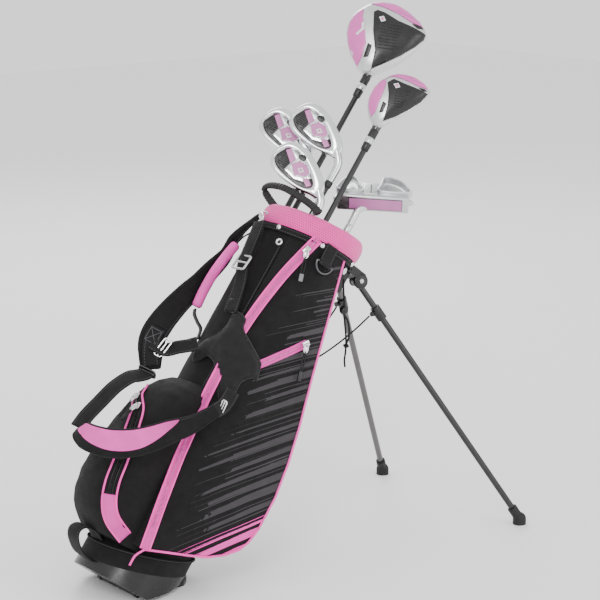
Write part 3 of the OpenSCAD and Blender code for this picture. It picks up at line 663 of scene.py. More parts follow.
# ---------------------------------------------------------------- cuff
def cuff(i, j):
    """Puffed ring: round the bag with i, round its section with j, starting low on the outside."""
    ang = 360 * i
    sec = [(80.0, -13.5), (83.2, -9.5), (84.6, -1), (84.2, 8), (82.2, 15.5), (78.2, 20), (73.4, 20.4),
        (69.6, 17.2), (68.2, 12), (69.2, 9.2)]
    x = j * (len(sec) - 1)
    k = min(int(x), len(sec) - 2)
    f = x - k
    r = sec[k][0] * (1 - f) + sec[k + 1][0] * f
    h = sec[k][1] * (1 - f) + sec[k + 1][1] * f
    dent = 0.55 * wave(polar(ang, r, h * 2), 17, 3.0) + 0.5 * wave(polar(ang, 40, 0), 12, 9.0)
    return polar(ang, r + dent, rim(ang, h + dent * 0.4))


def cuff_smooth(i, j):
    return sum(cuff(i, min(1, max(0, j + d))) for d in (-0.06, -0.03, 0, 0.03, 0.06)) / 5


pad = grid("cuff_padding", cuff_smooth, 150, 30, "mesh", slot="pink_mesh", closed=True, uv=lambda i,
    j: (0.52 * i, 0.062 * j))
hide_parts("cuff_pad")


def trim(i, j):
    ang = 360 * i
    return polar(ang, 79.4 + 1.1 * math.sin(math.pi * j) + 0.3 * wave(polar(ang, 50, 0), 15),
        rim(ang, -24 + 11 * j))


band = grid("cuff_binding", trim, 130, 8, "bind", slot="body_fabric", closed=True, thick=1.4, uv=lambda i,
    j: (0.010 * j, 0.5 * i))
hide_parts("cuff_trim")
grid("cuff_lining", lambda i, j: polar(360 * i, 69.2 - 2.0 * j, rim(360 * i, 9 - 2 * j)), 90, 3, "inner",
    slot="body_fabric", closed=True)

# grab handle across the front of the rim
hp = spline([(-64, 22, 626), (-73, 38, 635), (-82, 51, 645), (-87, 50, 651), (-87, 38, 656),
    (-82, 12, 658), (-71, -19, 653), (-63, -44, 647), (-55, -59, 640)], 1.0)
ribs = 1 + 0.055 * np.sin(np.arange(len(hp)) * 1.35)
ribs[:9] = 1.12
ribs[-9:] = 1.12
grab = sweep("rim_handle", hp, slab(11.8, 8.4, 3.8, 4), "handle", slot="handle_rubber",
    up=hp - np.array([0, 0, 610]), scale=np.stack([ribs, ribs], 1))
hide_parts("top_handle")

# ---------------------------------------------------------------- flank pocket
ZIP = [(612, -37, -68), (560, -49, -60), (516, -57, -53), (440, -65, -46), (380, -68, -46),
    (300, -71, -53), (200, -71, -66), (130, -67, -76), (62, -60, -84)]
EDGE = [(600, 20, -77), (526, 32, -89), (416, 50, -106), (336, 64, -119), (282, 72, -126),
    (225, 77, -131), (60, 77, -131)]


def on(table, z):
    zs = [t[0] for t in table][::-1]
    return np.array([np.interp(z, zs, [t[k] for t in table][::-1]) for k in (1, 2)])


def panel_low(u):
    return float(np.interp(u, [0, 0.46, 0.65, 0.81, 0.92, 0.97, 1.0], [62, 86, 97, 113, 130, 146, 172]))


def panel(u, v, lift=0.0):
    top = 604 - 4 * u
    z = panel_low(u) + v * (top - panel_low(u))
    a, b = on(ZIP, z), on(EDGE, z)
    d = b - a
    n = unit(np.array([d[1], -d[0]]))
    puff = 36 * u * (1 - u) * min(1.0, 6 * v + 0.15) * min(1.0, 5 * (1 - v) + 0.2)
    p = a + d * u + n * puff
    # straight drape lines from the sagging cloth
    q = np.array([p[0], p[1], z])
    fold = 1.8 * wave([q[0] + 0.45 * z, 0, 0.5 * z], 44, 1.0) + 0.9 * wave(q * [1, 1, 0.6], 19, 7.0)
    fold *= min(1.0, 9 * u) * min(1.0, 9 * (1 - u)) * min(1, 8 * v) * min(1, 8 * (1 - v))
    p = p + n * (fold + lift)
    r = math.hypot(*p)
    if r < 78.2 + lift:
        p = p * (78.2 + lift) / r
    return np.array([p[0], p[1], z])


def panel_uv(i, j):
    z = panel_low(i) + j * (600 - panel_low(i))
    a, b = on(ZIP, z), on(EDGE, z)
    return (0.001 * np.linalg.norm(b - a) * i, z / 1000)


flank = grid("flank_panel", panel, 60, 110, "panel", slot="panel_fabric", uv=panel_uv, thick=1.6)
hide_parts("flank_pocket")
for name, u0, ang in (("flank_gusset_right", 1.0, -20), ("flank_gusset_left", 0.0, -168)):
    grid(name, lambda i, j, u0=u0, ang=ang: (1 - i) * panel(u0, j) + i * polar(ang if u0
        else -150 - 12 * (1 - j), 76.8, panel(u0, j)[2]) + unit(np.array([panel(u0, j)[0],
        panel(u0, j)[1], 0])) * 5 * math.sin(math.pi * i) * (1 if u0 else 0.3), 12, 60, "side",
        slot="body_fabric", thick=1.2)
grid("flank_base", lambda i, j: (1 - j) * panel(i, 0) + j * (np.array([*(unit(panel(i, 0)[:2]) * 78.5),
    panel(i, 0)[2] + 6])), 40, 8, "side", slot="body_fabric", thick=1.2)
tube("panel_piping_right", [panel(1.0, v, 0.6) for v in np.linspace(0, 1, 40)], 1.9, "piping",
    slot="pink_zip", k=8)
tube("panel_piping_low", [panel(u, 0, 0.6) for u in np.linspace(0, 1, 40)], 1.9, "piping",
    slot="pink_zip", k=8)


def zip_run(name, centre, outs, width, nodes, body_mat="pink_cloth", coil="coil", pipe=True, plain=0.0,
        coil_r=1.5):
    """A zip: a tape along a curve, a coil of teeth down its middle and piping down both edges."""
    path = spline(centre, 2.5)
    out = unit(np.array([outs(p) for p in path]))
    t, side, nrm = frames(path, out)
    n = len(path)
    tape = sweep(name + "_tape", path + nrm * 0.3, slab(width, 1.4, 0.5), body_mat,
        slot="pink_zip" if body_mat != "body" else "body_fabric", up=nrm)
    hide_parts(*nodes)
    if pipe:
        for s in (-1, 1):
            sweep(name + ("_pipe_a" if s < 0 else "_pipe_b"), path + side * s * width / 2 + nrm * 1.0,
                circle(1.7, 8), "piping", slot="pink_zip")
    last = int(n * (1 - plain))
    run = path[:last]
    fine = spline(run, 0.45)
    outf = unit(np.array([outs(p) for p in fine]))
    _, sf, nf = frames(fine, outf)
    ph = np.arange(len(fine)) * 2.1
    helix = fine + nf * (1.6 + coil_r * 0.45 * np.sin(ph))[:, None] + sf * (coil_r * np.cos(ph))[:, None]
    sweep(name + "_coil", helix, circle(0.42, 4), coil, slot="pink_zip" if coil == "coil"
        else "moulded_black")
    for s in (-1, 1):
        sweep(name + ("_rib_a" if s < 0 else "_rib_b"), run + side[:last] * s * (coil_r + 1.5)
            + nrm[:last] * 0.9, circle(0.55, 6), body_mat if body_mat != "body" else "coil_black",
            slot="pink_zip" if body_mat != "body" else "moulded_black")
    return path, side, nrm


def slider_set(name, body, node, at, out, along, hang, mat_slot="slider_metal", cord_len=26, end_len=9,
        end_mat="pull"):
    """A slider with a bridge, a hinged tab, a loop of cord and its rubber end."""
    out, along = unit(out), unit(along)
    across = np.cross(out, along)
    at = np.asarray(at, float)
    parts = [block(name, at + out * 4.2, along, across, (12, 8.6, 2.2), "slider", body, mat_slot, 0.7)]
    block(name + "_wedge", at + out * 1.6 + along * 4, along, across, (5, 7, 3.4), "slider", body,
        mat_slot, 0.7)
    tube(name + "_bridge", [at + out * 5 - along * 4, at + out * 8.2 - along * 2,
        at + out * 8.2 + along * 2, at + out * 5 + along * 4], 0.9, "slider", body, mat_slot, 1.0, 8)
    hang = unit(hang)
    tab = at + out * 7.6 + hang * 2
    w = unit(np.cross(hang, out))
    ring = [tab + w * x + hang * y for x, y in ((-2.6, 0), (2.6, 0), (3.0, 9), (0, 12), (-3.0, 9))]
    tube(name + "_tab", ring, 1.0, "slider", body, mat_slot, 1.0, 8, closed=True)
    block(name + "_tab_plate", tab + hang * 6.5, hang, w, (7, 4, 1.1), "slider", body, mat_slot, 0.3)
    if cord_len:
        for s in (-1, 1):
            tube(name + "_cord_%s" % ("a" if s < 0 else "b"), [tab + hang * 10 + w * s * 0.4,
                tab + hang * (12 + cord_len * 0.4) + w * s * 2.2, tab + hang * (12 + cord_len)
                + w * s * 1.3], 1.15, "cord", body, "cord", 1.5, 8)
        end = tab + hang * (12 + cord_len + end_len / 2)
        block(name + "_end", end, hang, w, (end_len + 3, 6.6, 4.6), end_mat, body, "handle_rubber", 1.2)
    if node:
        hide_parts(node)


radial = lambda p: np.array([p[0], p[1], 0])
main_line = [panel(0, v) for v in np.linspace(1.0, 0.0, 16)]
main_line = [p + unit(radial(p)) * 1.2 for p in main_line]
zip_run("side_zip", main_line, radial, 13.5, ["main_zip"], plain=0.06)
tube("piping_tail", [panel(0, 0) + [-1, -1, 0], np.array([-62, -74, 48]), np.array([-58, -68, 32])], 1.8,
    "piping", slot="pink_zip", k=8)
slider_set("side_zip_slider", "main_slider", "main_slider", panel(0.0,
    0.955) + unit([-0.62, -0.78, 0]) * 1.5, (-0.62, -0.78, 0), (0.22, -0.15, 1), (0.28, -0.12, -1))
acc = [panel(0.34 + 0.445 * t, 0.59 + 0.125 * t - 0.012 * t * t, 0.8) for t in np.linspace(0, 1, 12)]
zip_run("accessory_zip", acc, lambda p: np.array([-0.28, -0.96, 0.0]), 12.5, ["pocket_zip"], pipe=False)
slider_set("accessory_zip_slider", "pocket_slider", "pocket_slider", acc[-1] - [3, 0, 2],
    (-0.28, -0.96, 0), (0.6, -0.1, 0.75), (0.28, -0.1, -1), cord_len=30, end_len=13, end_mat="moulded")

# ---------------------------------------------------------------- ball pocket
BALL_X = [(54, 108), (60, 124), (70, 145), (78, 156), (99, 170.5), (126, 178.5), (151, 178), (190, 173),
    (230, 163), (262, 150), (284, 137), (302, 118), (316, 92)]


def ball(phi, z, lift=0.0):
    """A point on the ball pocket: phi from -90 on the near side to 90 on the far side."""
    X = float(np.interp(z, [b[0] for b in BALL_X], [b[1] for b in BALL_X]))
    hw = 61 - 7 * abs((z - 150) / 150) ** 3
    X = 50 + (X - 50) * 0.84
    e = 2 / 2.5
    c, s = math.cos(math.radians(phi)), math.sin(math.radians(phi))
    x = -50 - (X - 50) * abs(c) ** e
    y = math.copysign(abs(s) ** e, s) * hw
    q = np.array([x, y, z])
    n = unit(np.array([-abs(c) - 0.05, s, 0.0]))
    fold = 1.7 * wave(q * [1, 1, 0.7], 36, 4.0) + 1.0 * wave(q, 15, 8.0)
    return q + n * (fold * min(1, (z - 54) / 30, max(0, (316 - z) / 30)) + lift)


def ball_grid(i, j):
    z = 54 + 262 * (0.5 - 0.5 * math.cos(math.pi * j))
    return ball(-90 + 180 * i, z)


pocket = grid("ball_pocket_fabric", ball_grid, 72, 60, "side", slot="body_fabric", thick=1.6)
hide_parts("ball_pocket")
grid("ball_pocket_top", lambda i, j: (1 - j) * ball(-90 + 180 * i,
    316) + j * np.array([*(polar(180 + 78 * (1 - 2 * i), 76.8, 0)[:2]), 320]), 40, 6, "side",
    slot="body_fabric", thick=1.2)
grid("ball_pocket_base", lambda i, j: (1 - j) * ball(-90 + 180 * i,
    54) + j * np.array([*(polar(180 + 78 * (1 - 2 * i), 79.5, 0)[:2]), 55]), 40, 6, "side",
    slot="body_fabric", thick=1.2)
ball_line = [ball(a_, z_, 1.2) for a_, z_ in ((14, 276), (5, 257), (-9, 238), (-18, 218), (-27, 190),
    (-34, 156), (-38, 125), (-42, 98), (-50, 78), (-68, 64))]
near_out = lambda p: np.array([p[0] + 70, 1.3 * p[1], 0])
bl = spline(ball_line, 3)
cut = int(len(bl) * 0.72)
zip_run("ball_zip", bl[:cut + 1], near_out, 21, ["ball_zip"], body_mat="body", coil="coil_black",
    plain=0.0, coil_r=1.8)
_, s_, n_ = frames(bl[cut:], np.array([near_out(p) for p in bl[cut:]]))
sweep("ball_zip_lower_tape", bl[cut:] + n_ * 0.5, slab(20, 1.6, 0.6), "pink_cloth", slot="pink_zip",
    up=n_)
for s in (-1, 1):
    sweep("ball_zip_lower_pipe_%s" % ("a" if s < 0 else "b"), bl[cut:] + s_ * s * 10.5 + n_ * 1.0,
        circle(1.7, 8), "piping", slot="pink_zip")
slider_set("ball_zip_slider", "ball_slider", "ball_slider", ball(4, 257, 2), (-0.98, 0.1, 0.2),
    (0.3, 0.4, 0.9), (-0.3, -0.22, -1), cord_len=20, end_mat="cord")
slider_set("ball_zip_slider_second", "bag", None, ball(-7, 243, 2), (-0.96, -0.2, 0.2), (0.3, 0.4, 0.9),
    (-0.5, -0.25, -1), cord_len=14, end_mat="cord")

# ---------------------------------------------------------------- handles and straps
g = lambda z, r, off=0.0: polar(150, r, z) + off * np.array([-math.sin(math.radians(150)),
    math.cos(math.radians(150)), 0])
grip_path = spline([g(549, 97), g(522, 102), g(490, 106), g(458, 106.5), g(431, 104.5)], 2.0)
taper = np.ones((len(grip_path), 2))
taper[:3] = [[0.72, 0.72], [0.9, 0.9], [0.98, 0.98]]
taper[-3:] = taper[:3][::-1]
gp = sweep("grip_handle_pad", grip_path, circle(8.0, 20, 0.9), "pink_pad", slot="pink_padding",
    scale=taper)
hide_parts("grip_handle")
tube("grip_handle_seam", [p - unit([p[0], p[1], 0]) * 7.4 for p in grip_path[2:-2:4]], 0.7, "pink_cloth",
    slot="pink_padding", k=6)
radial_up = lambda path: np.array([[p[0], p[1], 0.001] for p in path])
hw1 = spline([g(553, 96.6), g(564, 93), g(576, 85.5), g(588, 79.4), g(606, 78.4)], 2)
hw2 = spline([g(427, 104.6), g(419, 101), g(411, 91), g(404, 81.5), g(388, 78.4)], 2)
w1 = sweep("handle_webbing_top", hw1, slab(20, 2.4), "web", slot="webbing", up=radial_up(hw1))
sweep("handle_webbing_low", hw2, slab(20, 2.4), "web", slot="webbing", up=radial_up(hw2))
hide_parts("handle_webbing")
loop = spline([(-79.5, 4, 46), (-95, 4, 53), (-115, 4, 52), (-124.5, 4, 42), (-119, 4, 29), (-99, 4, 16),
    (-80.5, 4, 13)], 2)
bl_loop = sweep("base_loop_webbing", loop, slab(30, 2.6), "web_wide", slot="webbing",
    up=loop - np.array([-100, 4, 34]))
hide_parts("base_loop")


def strap_piece(name, pts, width, thick, mat, up, padded=0.0, slot="webbing", step=3.0, body="bag",
        scale=None):
    path = spline(pts, step)
    ups = np.array([up(p) for p in path]) if callable(up) else np.array(up, float)
    sec = padded_slab(width, thick) if padded else slab(width, thick)
    sc = None
    if scale is not None:
        x = np.linspace(0, 1, len(scale))
        f = np.interp(np.linspace(0, 1, len(path)), x, scale)
        sc = np.stack([f, np.ones_like(f)], 1)
    ob = sweep(name, path, sec, mat, body, slot, up=ups, scale=sc)
    if padded:
        m = ob.modifiers.new("soft", "SUBSURF")
        m.levels = m.render_levels = 1
    return ob


PAD = [(-92, 22, 598), (-86, 42, 586), (-80, 65, 560), (-74, 72, 529), (-83, 75, 494), (-92, 74, 465),
    (-104, 70, 443), (-119, 62, 415), (-135, 51, 380), (-143, 41, 348), (-135, 33, 323), (-126, 29, 306)]


def pad_face(p):
    t = np.clip((p[2] - 320) / 230, 0, 1)
    return np.array([-1.3 + 2.3 * t, -1.6 - 0.4 * t, 0.3 * (1 - t)])


up_strap = strap_piece("shoulder_pad", PAD, 40, 9, "pad", pad_face, 0.7, "pad_black",
    scale=[0.5, 0.7, 0.86, 0.95, 1, 1, 1, 1.02, 1.05, 1.0, 0.78])
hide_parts("shoulder_strap")
out_dir = unit([-1.3, -1.6, 0.2])
for k, z in enumerate((372, 362, 334)):
    c_ = np.array([-139.0 - 0.1 * (372 - z), 48 - 0.2 * (372 - z), z]) + out_dir * 5.2
    tube("shoulder_pad_bartack_%d" % k, [c_ + unit([0.8, -0.6, 0]) * w for w in (-15, 0, 15)], 0.9, "web",
        slot="webbing", k=6)
side_of_pad = lambda p: out_dir
strap_piece("shoulder_pad_tongue", [np.array(q) + out_dir * 6.2 for q in ((-139, 47, 366),
    (-143, 41, 348), (-137, 35, 326), (-128, 30, 310))], 25, 2.2, "web", side_of_pad)
back_side = lambda p: np.array([-0.8, -0.5, 0.3])
back_web = strap_piece("strap_back_web", [(-127, 27, 304), (-134, 26, 295), (-146, 25, 286),
    (-158, 24, 277), (-174, 22, 253), (-186, 20, 222), (-197, 17, 194), (-204, 12, 172)], 25, 3.0, "web",
    back_side)
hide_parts("strap_webbing")
round_bag = lambda p: np.array([p[0], p[1], 0])
HOOK = [(-102, 1, 588), (-102, -3, 572), (-100, -4, 550), (-95, -4, 520), (-89, -12, 490),
    (-88, -19, 464), (-89, -26, 440)]
strap_piece("strap_hook_web", HOOK, 24, 2.4, "web", round_bag)
strap_piece("strap_hook_web_under", [(-98, 2, 584), (-97, -2, 566), (-94.5, -3, 545), (-91, -3, 520)], 24,
    2.0, "web", round_bag)
strap_piece("strap_side_web", [(-146, 34, 342), (-134, 26, 342), (-124, 20, 344), (-115, 11, 355),
    (-108, 0, 364), (-101, -9, 374)], 24, 2.4, "web", lambda p: np.array([-0.75, -0.5, 0.3]))
strap_piece("strap_low_web", [(-52, -79, 332), (-58, -86, 314), (-66, -92, 302), (-74, -97, 295),
    (-80, -99, 288)], 23, 2.4, "web", lambda p: np.array([-0.5, -0.85, 0]))

# four-armed yoke pad lying against the tube
YOKE = [(-21, 57), (2, 54), (7, 39), (22, 28), (56, 7), (62, -2), (67, -23), (58, -23), (46, -37),
    (46, -56), (43, -77), (33, -83), (17, -65), (2, -40), (-12, -28), (-26, -24), (-34, -32), (-50, -39),
    (-61, -21), (-50, -3), (-33, 13), (-23, 31)]


def filled(poly, step, longest):
    """Points and triangles that fill an outline evenly, with each point's distance to the edge."""
    pts = spline(np.array([(x, y, 0) for x, y in poly], float), step, closed=True)[:, :2]
    b = bmesh.new()
    b.faces.new([b.verts.new((p[0], p[1], 0)) for p in pts])
    bmesh.ops.triangulate(b, faces=b.faces[:])
    for _ in range(5):
        far = [e for e in b.edges if e.calc_length() > longest and not e.is_boundary]
        if not far:
            break
        bmesh.ops.subdivide_edges(b, edges=far, cuts=1)
        bmesh.ops.triangulate(b, faces=[f for f in b.faces if len(f.verts) > 3])
        bmesh.ops.beautify_fill(b, faces=b.faces[:], edges=[e for e in b.edges if not e.is_boundary])
    b.verts.index_update()
    flat = np.array([v.co[:2] for v in b.verts])
    tris = [[v.index for v in f.verts] for f in b.faces]
    b.free()
    return flat, tris, np.array([np.min(np.linalg.norm(pts - q, axis=1)) for q in flat])


# four-armed yoke pad lying against the tube
flat, tris, inset = filled(YOKE, 3.0, 4.5)
front = []
for (across, high), d in zip(flat, inset):
    ang = 211 + math.degrees(across / 88)
    puff = 6.0 * min(1.0, d / 11) ** 0.55
    n = 1.5 * wave([across, high, 0], 15, 2.0) + 0.8 * wave([across, high, 5], 7, 4.0)
    channel = 1.8 * math.exp(-((d - 5.0) / 1.1) ** 2)
    front.append(polar(ang, 84.0 + puff + n * min(1.0, d / 8) - channel, 388 + high))
yk = piece("strap_yoke_pad", world(np.array(front)), tris, "yoke", slot="pad_black", uv=flat / 1000)
yk.modifiers.new("thick", "SOLIDIFY").thickness = 0.003
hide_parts("strap_yoke")

# lower padded strap with its pink crescent
low_pts = [(-203, 8, 171), (-208, -12, 165), (-201, -37, 165), (-186, -59, 172), (-166, -74, 187),
    (-145, -80, 206), (-125, -86, 229), (-103, -92, 252), (-89, -96, 274), (-79, -99, 292)]
low_face = np.array([-0.62, -0.76, -0.19])
lo_strap = strap_piece("lower_pad", low_pts, 40, 8.5, "pad", lambda p: low_face, 0.7, "pad_black",
    scale=[0.6, 1.0, 1.08, 1.1, 1.05, 1.0, 0.9, 0.75, 0.6, 0.5])
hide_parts("hip_strap")
lp = spline(low_pts, 3.0)
cres = lp[int(len(lp) * 0.05):int(len(lp) * 0.74)]
up_c = np.tile(low_face, (len(cres), 1))
_, sc_, nc = frames(cres, up_c)
width_c = np.maximum(np.sin(np.linspace(0.35, math.pi - 0.02, len(cres))) ** 0.75, 0.05)
upward = 1.0 if sc_[len(sc_) // 2][2] > 0 else -1.0
top_c = np.interp(np.linspace(0.05, 0.74, len(cres)), np.linspace(0, 1, 10),
    [12, 19, 20.5, 21, 20, 19, 17, 14, 11, 9])
centre_c = cres + nc * 4.4 + sc_ * (upward * (top_c - 1.5 - 15 * width_c))[:, None]
sweep("lower_pad_crescent", centre_c, slab(30, 2.0, 0.9), "pink_pad", slot="pink_padding", up=up_c,
    scale=np.stack([width_c, np.ones(len(cres))], 1))

# ---------------------------------------------------------------- strap hardware
def ladder(name, at, x, y, w, h, bar=1.5, mat="chrome", slot="chrome", mid=True):
    """A slide buckle: a rounded rectangle of wire with a bar across."""
    x, y = unit(x), unit(y)
    at = np.asarray(at, float)
    ring = []
    for cx, cy, a0 in ((1, 1, 0), (-1, 1, 90), (-1, -1, 180), (1, -1, 270)):
        for j in range(4):
            a_ = math.radians(a0 + 30 * j)
            ring.append(at + x * (cx * (w / 2 - 3) + 3 * math.cos(a_))
                + y * (cy * (h / 2 - 3) + 3 * math.sin(a_)))
    ob = tube(name, ring, bar, mat, slot=slot, step=1.2, k=8, closed=True)
    if mid:
        tube(name + "_bar", [at - x * (w / 2), at + x * (w / 2)], bar * 0.9, mat, slot=slot, k=8)
    return ob


buckle = ladder("slide_buckle", (-98.0, -4, 518), (0.1, 0.99, 0), (0.12, 0, 1), 32, 24, 1.9, "rod")
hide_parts("strap_buckles")
ladder("side_adjuster", (-131, 22, 343.5), (0.1, -0.1, 1), (0.75, -0.65, 0.0), 30, 12, 1.5)
ladder("back_adjuster", (-132, 26, 300), (0.5, -0.8, 0), (0.6, 0.2, -0.6), 28, 11, 1.5, "dark_metal",
    "dark_ring")
ladder("lower_buckle", (-70, -97, 299), (-0.3, -0.3, 0.9), (0.4, -0.9, -0.1), 24, 8, 1.3)
hook = ladder("hook_ring", (-99, 7, 598), (0.3, 0.9, 0.35), (-0.35, 0, 0.95), 21, 9, 1.7, mid=False)
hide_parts("snap_hook")
block("hook_body", (-99, 1, 592), (-0.1, 0.8, 0.6), (1, 0, 0.1), (13, 4.6, 5), "chrome", slot="chrome",
    bevel=1.4)
tube("hook_claw", [(-98, 6, 596), (-97, 13, 600), (-94, 17, 606), (-90, 15, 610), (-87, 11, 608)], 1.6,
    "chrome", slot="chrome", step=1.0)

# box-and-cross stitching where webbing is sewn to the pads
def cross_stitch(name, at, x, y, w, h, lift):
    x, y = unit(x), unit(y)
    o = unit(np.cross(x, y)) * lift
    at = np.asarray(at, float) + o
    c = [at + x * w / 2 * i + y * h / 2 * j for i, j in ((1, 1), (-1, 1), (-1, -1), (1, -1))]
    for k, (p, q) in enumerate(((0, 1), (1, 2), (2, 3), (3, 0), (0, 2), (1, 3))):
        sweep(name + "_%d" % k, np.linspace(c[p], c[q], 8), circle(0.65, 6), "fibre", slot="webbing")


cross_stitch("yoke_stitch_top", (-89.5, -23, 450), (0.27, -0.96, 0), (0, 0, 1), 17, 20, -1.6)
cross_stitch("yoke_stitch_side", (-106, -3, 366), (0.55, -0.78, 0.28), (-0.2, 0.2, 0.95), 15, 17, -2.0)
cross_stitch("pad_stitch", np.array([-142.5, 42.5, 352]) + out_dir * 7.6, (0.78, -0.62, 0), (0.1, 0.1, 1),
    18, 22, 0.2)

# ---------------------------------------------------------------- towel tab
tt = lambda z, r, off=0: polar(-101, r, z) + off * polar(-11, 1, 0)
tab_path = spline([tt(606, 81.6), tt(594, 83.0), tt(582, 84.2), tt(575, 87.5), tt(571, 89)], 1.5)
tab = sweep("towel_tab_strap", tab_path, slab(23, 3.0), "web", slot="webbing", up=tt(0, 1) + tab_path * 0)
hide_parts("towel_tab")
tube("towel_tab_fold", [tt(575, 85, -11), tt(575, 85, 0), tt(575, 85, 11)], 4.4, "web", slot="webbing")

# ---------------------------------------------------------------- rivets and eyelets
DOME = [(4.2, -1.5), (4.4, 0.4), (4.1, 1.1), (3.4, 1.9), (2.2, 2.6), (0.1, 2.9)]
EYE = [(5.9, -1.2), (6.0, 0.6), (5.4, 1.7), (4.2, 2.1), (3.1, 1.6), (2.5, 0.3), (2.2, -1.0)]
first = None
for k, (a_, h_) in enumerate(((-167, -17.5), (-112, -18.5), (-54, -17.5), (60, -17.5), (140, -17.5))):
    d = lathe("rivet_%d" % k, DOME, polar(a_, 80.6, rim(a_, h_)), polar(a_, 1, 0), "chrome",
        slot="chrome")
    first = first or d
for k, (a_, z_) in enumerate(((-158, 573), (-62, 590))):
    lathe("eyelet_%d" % k, EYE, polar(a_, 78.4, z_), polar(a_, 1, 0), "chrome", slot="chrome")
    lathe("eyelet_hole_%d" % k, [(2.4, 0), (2.4, 0.5), (0.1, 0.5)], polar(a_, 78.0, z_), polar(a_, 1, 0),
        "moulded", slot="chrome")
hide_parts("rivets")

# rounded cheeks over the ends of the leg pivots
pin = unit([0.2556, 0.9474, -0.1926])
for s_, name in ((1, "near"), (-1, "far")):
    flip = np.array([1, s_, 1])
    lathe("bracket_cheek_" + name, [(9.5, -0.4), (12.2, 0.8), (12.8, 3.2), (11.6, 5.6), (8.4, 6.6),
        (0.1, 6.9)], (pivot - pin * 12) * flip, -pin * flip, "moulded", slot="moulded_black", local=False)
    lathe("bracket_bolt_" + name, [(3.8, 0), (3.8, 1.2), (3.0, 1.8), (0.1, 1.9)],
        (pivot - pin * 18.7) * flip, -pin * flip, "rod", slot="steel", local=False)

# ---------------------------------------------------------------- clubs
TURN = math.radians(-46)
HX = np.array([math.cos(TURN), math.sin(TURN), 0])
HY = np.array([-math.sin(TURN), math.cos(TURN), 0])
HZ = np.array([0, 0, 1.0])


def head_to_bag(c, p):
    p = np.asarray(p, float)
    return np.asarray(c, float) + p[..., 0:1] * HX + p[..., 1:2] * HY + p[..., 2:3] * HZ


def rounded(poly, step=2.5):
    return spline(np.array([(x, 0, z) for x, z in poly], float), step, closed=True)[:, [0, 2]]


def patch(name, c, body, slot, poly, surf, lift, thick, mat, smooth_edges=True, step=3.0, bevel=0.5):
    """A panel cut to an outline and laid on a surface y(x, z) facing -Y, raised by lift."""
    pts = rounded(poly, step) if smooth_edges else np.array([p for i in range(len(poly))
        for p in np.linspace(poly[i], poly[(i + 1) % len(poly)], max(2,
        int(math.dist(poly[i], poly[(i + 1) % len(poly)]) / step)), endpoint=False)], float)
    b = bmesh.new()
    vs = [b.verts.new((p[0], p[1], 0)) for p in pts]
    b.faces.new(vs)
    bmesh.ops.triangulate(b, faces=b.faces[:])
    for _ in range(3):
        long_edges = [e for e in b.edges if e.calc_length() > 6.5]
        if not long_edges:
            break
        bmesh.ops.subdivide_edges(b, edges=long_edges, cuts=1)
        bmesh.ops.triangulate(b, faces=[f for f in b.faces if len(f.verts) > 3])
    b.verts.index_update()
    flat = np.array([v.co[:2] for v in b.verts])
    faces = [[v.index for v in f.verts] for f in b.faces]
    b.free()
    y = np.array([surf(x, z) for x, z in flat]) - lift
    v = np.stack([flat[:, 0], y, flat[:, 1]], 1)
    ob = piece(name, world(head_to_bag(c, v)), faces, mat, body, slot, flat / 1000)
    m = ob.modifiers.new("thick", "SOLIDIFY")
    m.thickness, m.offset = thick / 1000, 0.0
    if bevel:
        e = ob.modifiers.new("bevel", "BEVEL")
        e.width, e.segments, e.limit_method, e.angle_limit = bevel / 1000, 2, "ANGLE", math.radians(50)
    return ob


def dome(c0, outline, front, power=2.6):
    """Height of a rounded sole: 0 at the outline, front deep in the middle."""
    pts = rounded(outline, 2.0) - np.array(c0)
    ang = np.arctan2(pts[:, 1], pts[:, 0])
    order = np.argsort(ang)
    ang, rad = ang[order], np.linalg.norm(pts[order], axis=1)

    def f(x, z):
        dx, dz = x - c0[0], z - c0[1]
        r = float(np.interp(math.atan2(dz, dx), np.concatenate([ang - 2 * math.pi, ang,
            ang + 2 * math.pi]), np.tile(rad, 3)))
        s = min(1.0, math.hypot(dx, dz) / r)
        return -front * (1 - s ** power) ** (1 / power)

    def edge(t):
        return float(np.interp(t, np.concatenate([ang - 2 * math.pi, ang, ang + 2 * math.pi]),
            np.tile(rad, 3)))
    return f, edge


def wood(name, node, c, body, outline, mid, front, back, parts, hosel_at):
    sole, edge = dome(mid, outline, front)
    crown, _ = dome(mid, outline, back, 2.2)
    n, m = 96, 22
    verts, faces = [], []
    for j in range(-m, m + 1):
        s = 1 - (abs(j) / m) ** 2.2 if j else 1.0
        for i in range(n):
            t = 2 * math.pi * i / n
            x, z = mid[0] + s * edge(t) * math.cos(t), mid[1] + s * edge(t) * math.sin(t)
            y = sole(x, z) if j < 0 else -crown(x, z)
            verts.append((x, y if j else 0.0, z))
    rows = 2 * m + 1
    for j in range(rows - 1):
        for i in range(n):
            faces.append((j * n + i, j * n + (i + 1) % n, (j + 1) * n + (i + 1) % n, (j + 1) * n + i))
    index = [0 if j < m else 1 for j in range(rows - 1) for i in range(n)]
    shell = piece(name + "_shell", world(head_to_bag(c, verts)), faces, None, body, "putter_silver",
        mats=["satin", "crown"], index=index)
    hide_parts(node)
    for k, (poly, mat, lift, rd) in enumerate(parts):
        patch("%s_part_%d" % (name, k), c, body, "wood_black" if mat == "sole_black" else "putter_silver",
            poly, sole, lift, 1.1, mat, smooth_edges=rd)
    lathe(name + "_hosel", [(7.4, 15), (7.8, 6), (7.2, 0), (6.6, -4), (6.6, -5)],
        head_to_bag(c, [hosel_at, 0, 2]), HZ, "crown", body, "wood_black")
    return sole


def ribs(name, c, body, slot, surf, lines, lift, r, mat):
    for k, (p, q) in enumerate(lines):
        pts = [np.array(p, float) + (np.array(q, float) - np.array(p, float)) * t
            for t in np.linspace(0, 1, 8)]
        pts3 = np.array([(x, surf(x, z) - lift, z) for x, z in pts])
        sweep("%s_%02d" % (name, k), head_to_bag(c, pts3), circle(r, 6), mat, body, slot)


